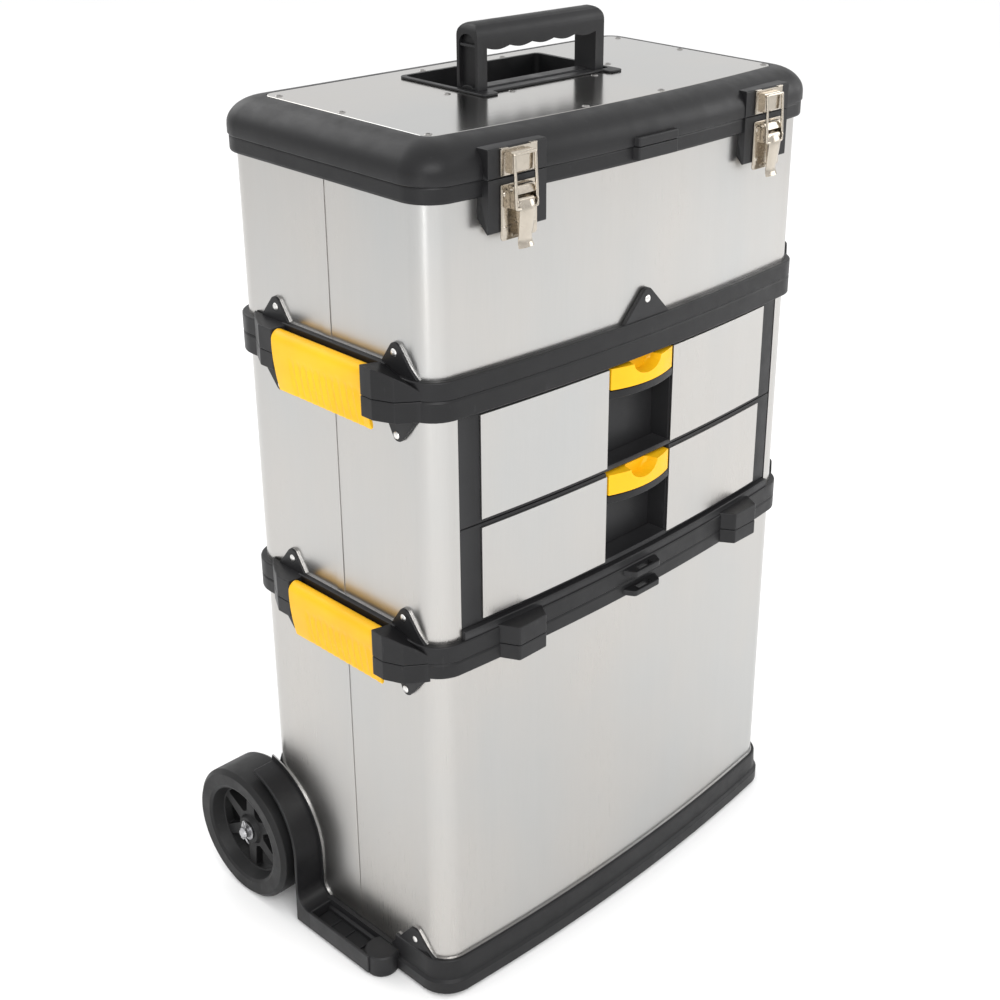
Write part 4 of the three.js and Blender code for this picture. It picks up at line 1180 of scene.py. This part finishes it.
def latch_pad(x, z0, z1, slope, top_round=1.2):
    pts = [(PAD_FACE, z0, 1.2), (PAD_FACE, z1, top_round), (-128, z1), (-128, z0 + slope)]
    return prism(fillet(pts, 3), "x", x - PAD_HALF, x + PAD_HALF, 2.0, 3)


HINGE_Y, HINGE_Z, HINGE_X = 151, 814, 190


def knuckle(x0, x1):
    return bush((2.3, 5), (0.2, 0.6), x0, x1, "x", (HINGE_Y, HINGE_Z), 24, 2)


def build_top_box():
    split = SPLITS[1]
    low = [upper_half(split, 649.7), slab([(RIM_IN + 1, 633.4), (RIM_IN + 1, 636.4)])]
    front = fillet([(-31, 646), (-31, 649.5), (-3.5, 678, 5.5), (3.5, 678, 5.5), (31, 649.5), (31, 646)], 5)
    tab_bm = prism(front, "y", front_y(0, 4.8), front_y(0, 0.2), 0.7)
    for v in tab_bm.verts:
        v.co.y += front_y(v.co.x) - front_y(0)
    low.append(tab_bm)
    heads = [
        (RIVET, rivets_on_sides(split + 35)), (RIVET, rivet(3.6, "y", -1, (0, 668), front_y(0, 4.7), 1.3))
    ]
    piece(
        "box_rim_lower", "top_box", "box_base",
        [(BLACK, b) for b in low] + heads + [(LIP_AND_HIGHLIGHT_TRIM, lip_and_highlight_strips(split))]
    )
    piece(
        "box_sleeve_sheet", "top_box", "box_sleeve",
        [(STEEL, joined(sleeve(637.3, 804), seam_lap(650.5, 798)))]
    )

    top = LID_SPLIT - 0.15
    prof = fillet(
        [
            (5.6, 798.6, 1.2), (RIM, 801, 0.8), (RIM, top - 1.6, 0.5), (RIM - 0.8, top, 0.4),
            (RIM_IN, top, 0.6), (RIM_IN, 798.6)
        ],
        3
    )
    parts = [sweep(prof)]
    parts.append(
        sweep(
            fillet(
                [(-2.4, 762.2, 0.3), (-2.4, 800), (-8, 800), (-8, 768), (-16, 768, 0.5), (-16, 762.2, 0.5)],
                2
            )
        )
    )
    parts += [latch_pad(x, 767, top, 13, 0.4) for x in (-LATCH_X, LATCH_X)]
    parts.append(prism(lug_plan(0, 12, 29, 26, 2), "z", 801, top, 1, 3))
    for s in (-1, 1):
        for a, b in ((HINGE_X - 32, HINGE_X - 12), (HINGE_X + 12, HINGE_X + 32)):
            x0, x1 = span(s, a, b)
            parts.append(knuckle(x0, x1))
            parts.append(box((x0, x1), (REAR + 3, HINGE_Y - 1), (LID_SPLIT - 8, LID_SPLIT - 2.2), 0.6))
    piece("box_rim_upper", "top_box", "box_top_rim", [(BLACK, b) for b in parts])
    for name, s in SIDES:
        pin = rod("x", 2, HINGE_X - 33, HINGE_X + 33, (HINGE_Y, HINGE_Z), 14)
        piece(f"hinge_rod_{name}", "top_box", f"hinge_pin_{name}", [(ZINC, side(pin, s))])


def build_tray():
    z0, top = 705, 771
    shell = sweep(
        fillet(
            [
                (-19, z0, 2), (-19, 767.9, 0.5), (-9, 768.4, 0.6), (-9, top, 1), (-21.5, top, 1),
                (-21.5, z0 + 2.5)
            ],
            3
        )
    )
    floor = slab([(-20, z0 + 0.1), (-20, z0 + 2.6)])
    spine = box((-230, 230), (-1.25, 1.25), (z0 + 1, top - 6), 0.5)
    cross = [
        box((x - 1.25, x + 1.25), (-113 if x else -115, 116), (z0 + 1, top - 14), 0.5) for x in (-80, 80)
    ]
    posts = [box((x - 9, x + 9), (-5, 5), (z0 + 1, 785), 1.5, 3) for x in (-66, 66)]
    section = fillet([(-10, 780, 6), (10, 780, 6), (10, 796, 6), (-10, 796, 6)], 5)
    grip = bevelled(loft([[(x, u, v) for u, v in section] for x in (-75, 75)]), 1.5, 2, 60)
    bands = [
        loft(
            [
                [(x + d, u * g, 788 + (v - 788) * g) for u, v in section]
                for d, g in ((-1.5, 0.96), (-0.7, 1.0), (0.7, 1.0), (1.5, 0.96))
            ]
        )
        for x in range(-44, 45, 8)
    ]
    piece(
        "tool_tray_body", "tray", "tool_tray",
        [(BLACK, b) for b in (shell, floor, spine, *cross, *posts, grip, *bands)]
    )


# ---- lid ----
PLATE_IN = -24


def lid_profile():
    """Round shoulder from the parting line up to a small raised lip round the steel plate."""
    pts = [(6.6, LID_SPLIT + 0.15), (7.4, LID_SPLIT + 1.2)]
    pts += arc(PLATE_IN, 821, (7.4 - PLATE_IN, 24.6), 0, 90, 14)
    pts[-1] = (PLATE_IN + 0.5, PLATE_TOP)
    pts += [(PLATE_IN, PLATE_TOP - 0.4), (PLATE_IN, 844.0), (-36, 844.0), (-36, 841.5)]
    pts += arc(PLATE_IN, 818.5, (4.4 - PLATE_IN, 22.6), 90, 0, 14)[1:]
    return pts + [(4.4, LID_SPLIT + 0.15)]


WELL_X, WELL_Y, WELL_FLOOR = 86, (-11, 86), 823
BAIL_Y, BAIL_Z = 6.5, 837.5


def bezel_points(grow=0.0):
    x, back, front, lip, ear = 91 + grow, 90 + grow, -25 - grow, -15 - grow, 72 - grow
    return fillet([
        (x, back, 7), (-x, back, 7), (-x, front, 5), (-ear, front, 5), (-ear, lip, 2.5), (ear, lip, 2.5),
        (ear, front, 5), (x, front, 5),
    ], 5)


def build_lid():
    shell = sweep(lid_profile(), lid_outline)
    pads = [latch_pad(x, LID_SPLIT + 0.15, 838, 0, 1.5) for x in (-LATCH_X, LATCH_X)]
    inner = slab([(4.0, LID_SPLIT - 5), (4.0, 820), (-8, 834), (-30, 840)], lid_outline)
    pads = [carve(p, inner.copy()) for p in pads]
    inner.free()
    lug = carve(
        prism(lug_plan(0, 12, 29, 26, 2), "z", LID_SPLIT + 0.15, 821.5, 1.2, 3), slab([(3, 800), (3, 830)])
    )
    parts = [shell, *pads, lug]
    for s in (-1, 1):
        x0, x1 = span(s, HINGE_X - 11.5, HINGE_X + 11.5)
        parts.append(knuckle(x0, x1))
        parts.append(box((x0, x1), (REAR + 4, HINGE_Y - 1), (LID_SPLIT + 3, LID_SPLIT + 6), 0.6))
    piece("lid_shell", "lid", "lid_frame", [(BLACK, b) for b in parts], 38)

    plate = slab(
        [(PLATE_IN - 0.4, 844.1), (PLATE_IN - 0.4, 845.2), (PLATE_IN - 0.8, PLATE_TOP)], lid_outline
    )
    hole = prism(bezel_points(-2.0), "z", 800, 900)
    plate = carve(plate, hole)
    spots = [
        (s * x, y)
        for x, y in ((219, -94.6), (219, 12), (219, 97), (50, -107), (52, 100), (54, -21.5), (105, 8))
        for s in (-1, 1)
    ]
    heads = [screw(p, PLATE_TOP) for p in spots]
    piece("lid_plate_sheet", "lid", "lid_plate", [(STEEL_TOP, plate), (SCREW, joined(*heads))])

    frame_top = prism(bezel_points(), "z", PLATE_TOP + 0.05, PLATE_TOP + 2, 0.7, 3)
    x, (y0, y1) = WELL_X, WELL_Y
    outer = box((-x - 2.5, x + 2.5), (y0 - 2.5, y1 + 2.5), (WELL_FLOOR - 2.5, PLATE_TOP + 1.9), 0.8)
    pocket = prism(
        fillet([(-x, y0, 3), (x, y0, 3), (x, y1, 5), (-x, y1, 5)], 4), "z", WELL_FLOOR, PLATE_TOP + 6
    )
    body = carve(fuse(frame_top, outer), pocket, rod("x", 4.3, -x - 6, x + 6, (BAIL_Y, BAIL_Z), 20, 0))
    flange = box((-68.5, 68.5), (y0 - 2, 14), (WELL_FLOOR - 1, PLATE_TOP + 0.7), 0.5)
    rib = box((-68.5, 68.5), (1, 15), (WELL_FLOOR - 1, PLATE_TOP + 2), 1.0, 3)
    piece("handle_recess", "lid", "handle_well", [(BLACK, body), (BLACK, flange), (BLACK, rib)])

    build_lid_handle()


def build_lid_handle():
    """Two legs and a bar with finger waves, hollow on the legs' outer faces."""
    half, leg, top, soft = 82, 11.5, 905, 13
    y0, y1 = BAIL_Y - 13.5, BAIL_Y + 13.5
    under = top - 22
    inner = half - leg
    outer_pts = fillet([(-half, 826), (-half, top, 9), (half, top, 9), (half, 826), (inner, 826)], 6)
    waves = []
    n, steps = 5, 9
    pitch = 2 * inner / n
    for k in range(n):
        for j in range(steps):
            t = j / steps
            waves.append((inner - (k + t) * pitch, under - 2.4 * abs(math.sin(math.pi * t))))
    waves.append((-inner, under))
    shape = outer_pts + waves + [(-inner, 826)]
    bail = loft([[(u, y, v) for u, v in shape] for y in (y0, y1)])
    section = fillet([(y0, 820), (y1, 820), (y1, top, soft), (y0, top, soft)], 10)
    bail = carve(bail, prism(section, "x", -half - 2, half + 2), operation="INTERSECT")
    hollows = []
    for s in (-1, 1):
        x = span(s, half - 4, half + 3)
        hollows.append(
            prism(
                fillet([(y0 + 3.5, 846, 7), (y1 - 3.5, 846, 7), (y1 - 3.5, 895, 9), (y0 + 3.5, 895, 9)], 6),
                "x", *x
            )
        )
    bail = carve(bail, *hollows, box((-half - 2, half + 2), (y0 - 2, y1 + 2), (800, BAIL_Z), 0))
    bail = bevelled(bail, 1.2, 2, 50)
    extra = []
    for s in (-1, 1):
        extra.append(rod("x", 13.2, *span(s, half - 0.2, inner + 0.2), (BAIL_Y, BAIL_Z), 40, 1.2))
        extra.append(rod("x", 4, *span(s, half - 2, WELL_X + 2), (BAIL_Y, BAIL_Z), 20, 0.4))
        extra.append(box(span(s, half - 4.5, half - 0.6), (y0 + 3, y1 - 3), (884, 886.4), 0.4))
    piece("lid_handle_bail", "lid_handle", "lid_handle", [(BLACK, bail), (BLACK, joined(*extra))], 35)


# ---- lid latches ----
LATCH_FACE = PAD_FACE - 1.7
LEVER_OUT, LEVER_Z = 5, 793
LOOP_OUT, LOOP_Z, LOOP_TOP_OUT, LOOP_TOP = 9, 786, 6.4, 834.5


def at(out):
    return LATCH_FACE - out


def latch_base(x):
    half = 20.5
    y0, y1 = at(0), at(-1.4)
    pts = fillet(
        [(x - half, 761.5, 3), (x + half, 761.5, 3), (x + half, 808, 1.5), (x - half, 808, 1.5)], 4
    )
    plate = prism(pts, "y", y0, y1, 0.4)
    hood_side = fillet(
        [
            (at(0.2), 797.5), (at(0.2), 806.8, 0.6), (at(5), 806.2, 2.5), (at(7.6), 799.3, 0.5),
            (at(6.4), 799.3), (at(4.5), 804), (at(1.5), 804)
        ],
        3
    )
    hood = prism(hood_side, "x", x - 12, x + 12, 0.35)
    cheek = [(at(-0.2), 802), (at(6.5), 802)]
    cheek += arc(at(5), LEVER_Z, 5.5, 180 - math.degrees(0.2), 270, 8) + [(at(-0.2), LEVER_Z - 5.5)]
    cheeks = [prism(cheek, "x", x + a, x + a + 1.5, 0.3) for a in (-12, 10.5)]
    flats = []
    for s in (-1, 1):
        xs = sorted((x + s * 12.5, x + s * half))
        flats.append(box((xs[0] + 0.8, xs[1] - 0.8), (at(0.5), at(-0.4)), (766, 804.5), 0.4))
    slots = [box((x - 8.6, x + 8.6), (at(0.6), at(-0.5)), (763.5, 766.5), 0.5)]
    heads = [rivet(2.2, "y", -1, (x + s * 16.3, z), at(0.4), 0.9) for s in (-1, 1) for z in (772, 800)]
    return joined(plate, hood, *cheeks, *flats, *slots, *heads)


def latch_lever(x):
    """Pressed lever: rounded back, narrow waist and a flared tip."""
    rows = [
        (797.0, 5.2, 7.9, 4.2), (794.0, 9.3, 8.9, 4.6), (790.0, 10.6, 9.0, 5.0), (786.0, 11.3, 9.0, 5.2),
        (779.0, 10.7, 8.8, 6.0), (771.0, 9.6, 8.2, 6.6),
        (765.0, 8.7, 7.4, 6.2), (761.5, 8.2, 7.6, 5.9), (758.0, 8.6, 8.4, 6.6), (755.0, 9.7, 9.0, 8.2),
        (754.6, 9.4, 8.8, 8.6),
    ]
    sections = []
    for z, out, half, back in rows:
        loop = []
        for k in range(9):
            u = -1 + 2 * k / 8
            loop.append((x + u * half, at(out - 1.5 * abs(u) ** 3.2), z))
        for k in range(9):
            u = 1 - 2 * k / 8
            loop.append((x + u * half, at(min(back, out - 1.6)), z))
        sections.append(loop)
    body = bevelled(loft(sections), 0.25, 1, 60)
    head = rod("x", 4.1, x - 8.8, x + 8.8, (at(LEVER_OUT), LEVER_Z), 20, 0.5)
    pin = rod("x", 1.7, x - 12.6, x + 12.6, (at(LEVER_OUT), LEVER_Z), 14, 0.4)
    web = box((x - 8.4, x + 8.4), (at(10.0), at(6.8)), (783.5, 789), 0.5)
    return joined(body, head, pin, web)


def latch_loop(x):
    half = 14
    foot, top = (at(LOOP_OUT), LOOP_Z), (at(LOOP_TOP_OUT), LOOP_TOP)
    left, right = x - half, x + half
    return tube(
        bend([(x, *foot), (left, *foot), (left, *top), (right, *top), (right, *foot), (x, *foot)], 3.2, 6),
        1.45, 12
    )


def latch_keeper(x):
    half = 20.5
    pts = fillet(
        [(x - half, 815, 0.6), (x + half, 815, 0.6), (x + half, 836.8, 1.5), (x - half, 836.8, 1.5)], 3
    )
    plate = prism(pts, "y", at(0), at(-1.4), 0.4)
    block_side = fillet(
        [
            (at(-0.3), 816), (at(-0.3), 834, 0.4), (at(3.2), 833.8, 1.6), (at(4.4), 830.5, 1.5),
            (at(4.4), 817.5, 1.2), (at(3.2), 816, 0.5)
        ],
        4
    )
    block = prism(block_side, "x", x - 11.8, x + 11.8, 0.6)
    flanges = [
        box((x + a, x + b), (at(0.6), at(-9)), (836.2, 837.6), 0.4)
        for a, b in ((-20.2, -12.5), (12.5, 20.2))
    ]
    return joined(plate, block, *flanges)


def build_lid_latches():
    for name, s in SIDES:
        x = s * LATCH_X
        piece(f"latch_plate_{name}", "top_box", f"latch_base_{name}", [(NICKEL, latch_base(x))])
        piece(f"latch_arm_{name}", f"latch_lever_{name}", f"latch_lever_{name}", [(NICKEL, latch_lever(x))])
        piece(
            f"latch_wire_{name}", f"latch_loop_{name}", f"latch_loop_{name}", [(NICKEL, latch_loop(x))], 60
        )
        piece(f"latch_catch_{name}", "lid", f"latch_keeper_{name}", [(NICKEL, latch_keeper(x))])


build_base()
build_bin()
build_wheels()
build_trolley()
build_case()
build_drawers()
build_side_latches()
build_top_box()
build_tray()
build_lid()
build_lid_latches()


# ---- room, light and camera ----
def floor():
    bm = bmesh.new()
    bmesh.ops.create_grid(bm, x_segments=1, y_segments=1, size=12)
    me = bpy.data.meshes.new("floor")
    bm.to_mesh(me)
    bm.free()
    ob = bpy.data.objects.new("floor", me)
    bpy.context.scene.collection.objects.link(ob)
    m, t, b = shader("floor paint", Roughness=0.8)
    t.links.new(ramp(t, noise(t, 3, 2), [(0.3, 0.92), (0.7, 0.935)]), b.inputs["Base Color"])
    me.materials.append(m)


def area_light(name, place, target, size, power, colour=(1, 1, 1)):
    data = bpy.data.lights.new(name, "AREA")
    data.shape = "RECTANGLE"
    data.size, data.size_y = size
    data.energy = power
    data.color = colour
    ob = bpy.data.objects.new(name, data)
    ob.location = place
    ob.rotation_euler = (Vector(target) - Vector(place)).to_track_quat("-Z", "Y").to_euler()
    bpy.context.scene.collection.objects.link(ob)


def world():
    """An even dome, dimmer near the horizon than overhead, so that the metal has some contrast."""
    w = bpy.data.worlds.new("studio")
    w.use_nodes = True
    t = w.node_tree
    co = t.nodes.new("ShaderNodeTexCoord")
    split = t.nodes.new("ShaderNodeSeparateXYZ")
    t.links.new(co.outputs["Generated"], split.inputs["Vector"])
    shade = ramp(t, split.outputs["Z"], [(0.0, 0.74), (0.4, 1.0)])
    t.links.new(shade, t.nodes["Background"].inputs["Color"])
    t.nodes["Background"].inputs["Strength"].default_value = 1.08
    bpy.context.scene.world = w
    bpy.context.scene.view_settings.view_transform = "Standard"


# Metres, and the azimuth, elevation and roll in degrees.
CAMERA_PLACE = (-1.03214, -1.01445 - ORIGIN_Y / 1000, 1.1341)
CAMERA_AIM = (-48.834, 23.728, 1.52)


def camera():
    data = bpy.data.cameras.new("camera")
    data.sensor_width = 36
    data.lens = 56.24
    data.shift_x, data.shift_y = -0.12, -0.0737
    data.clip_start, data.clip_end = 0.05, 60
    ob = bpy.data.objects.new("camera", data)
    bpy.context.scene.collection.objects.link(ob)
    azimuth, elevation, roll = (math.radians(a) for a in CAMERA_AIM)
    back = Vector(
        (
            math.sin(azimuth) * math.cos(elevation), -math.cos(azimuth) * math.cos(elevation),
            math.sin(elevation)
        )
    )
    right = (-back).cross(Vector((0, 0, 1))).normalized()
    up = right.cross(-back)
    r = math.cos(roll) * right + math.sin(roll) * up
    u = math.cos(roll) * up - math.sin(roll) * right
    turn = Matrix((r, u, back)).transposed().to_4x4()
    ob.matrix_world = Matrix.Translation(CAMERA_PLACE) @ turn
    bpy.context.scene.camera = ob


floor()
world()
area_light("key", (-1.6, -2.6, 2.6), (0, 0, 0.5), (2.0, 1.6), 62)
area_light("strip", (-2.7, -1.5, 0.75), (-0.25, -0.15, 0.5), (0.22, 2.0), 9)
area_light("fill", (2.8, -1.6, 1.6), (0, 0, 0.5), (1.4, 2.0), 26)
area_light("back", (-0.4, 2.6, 2.4), (0, 0, 0.6), (2.4, 1.6), 28)
camera()
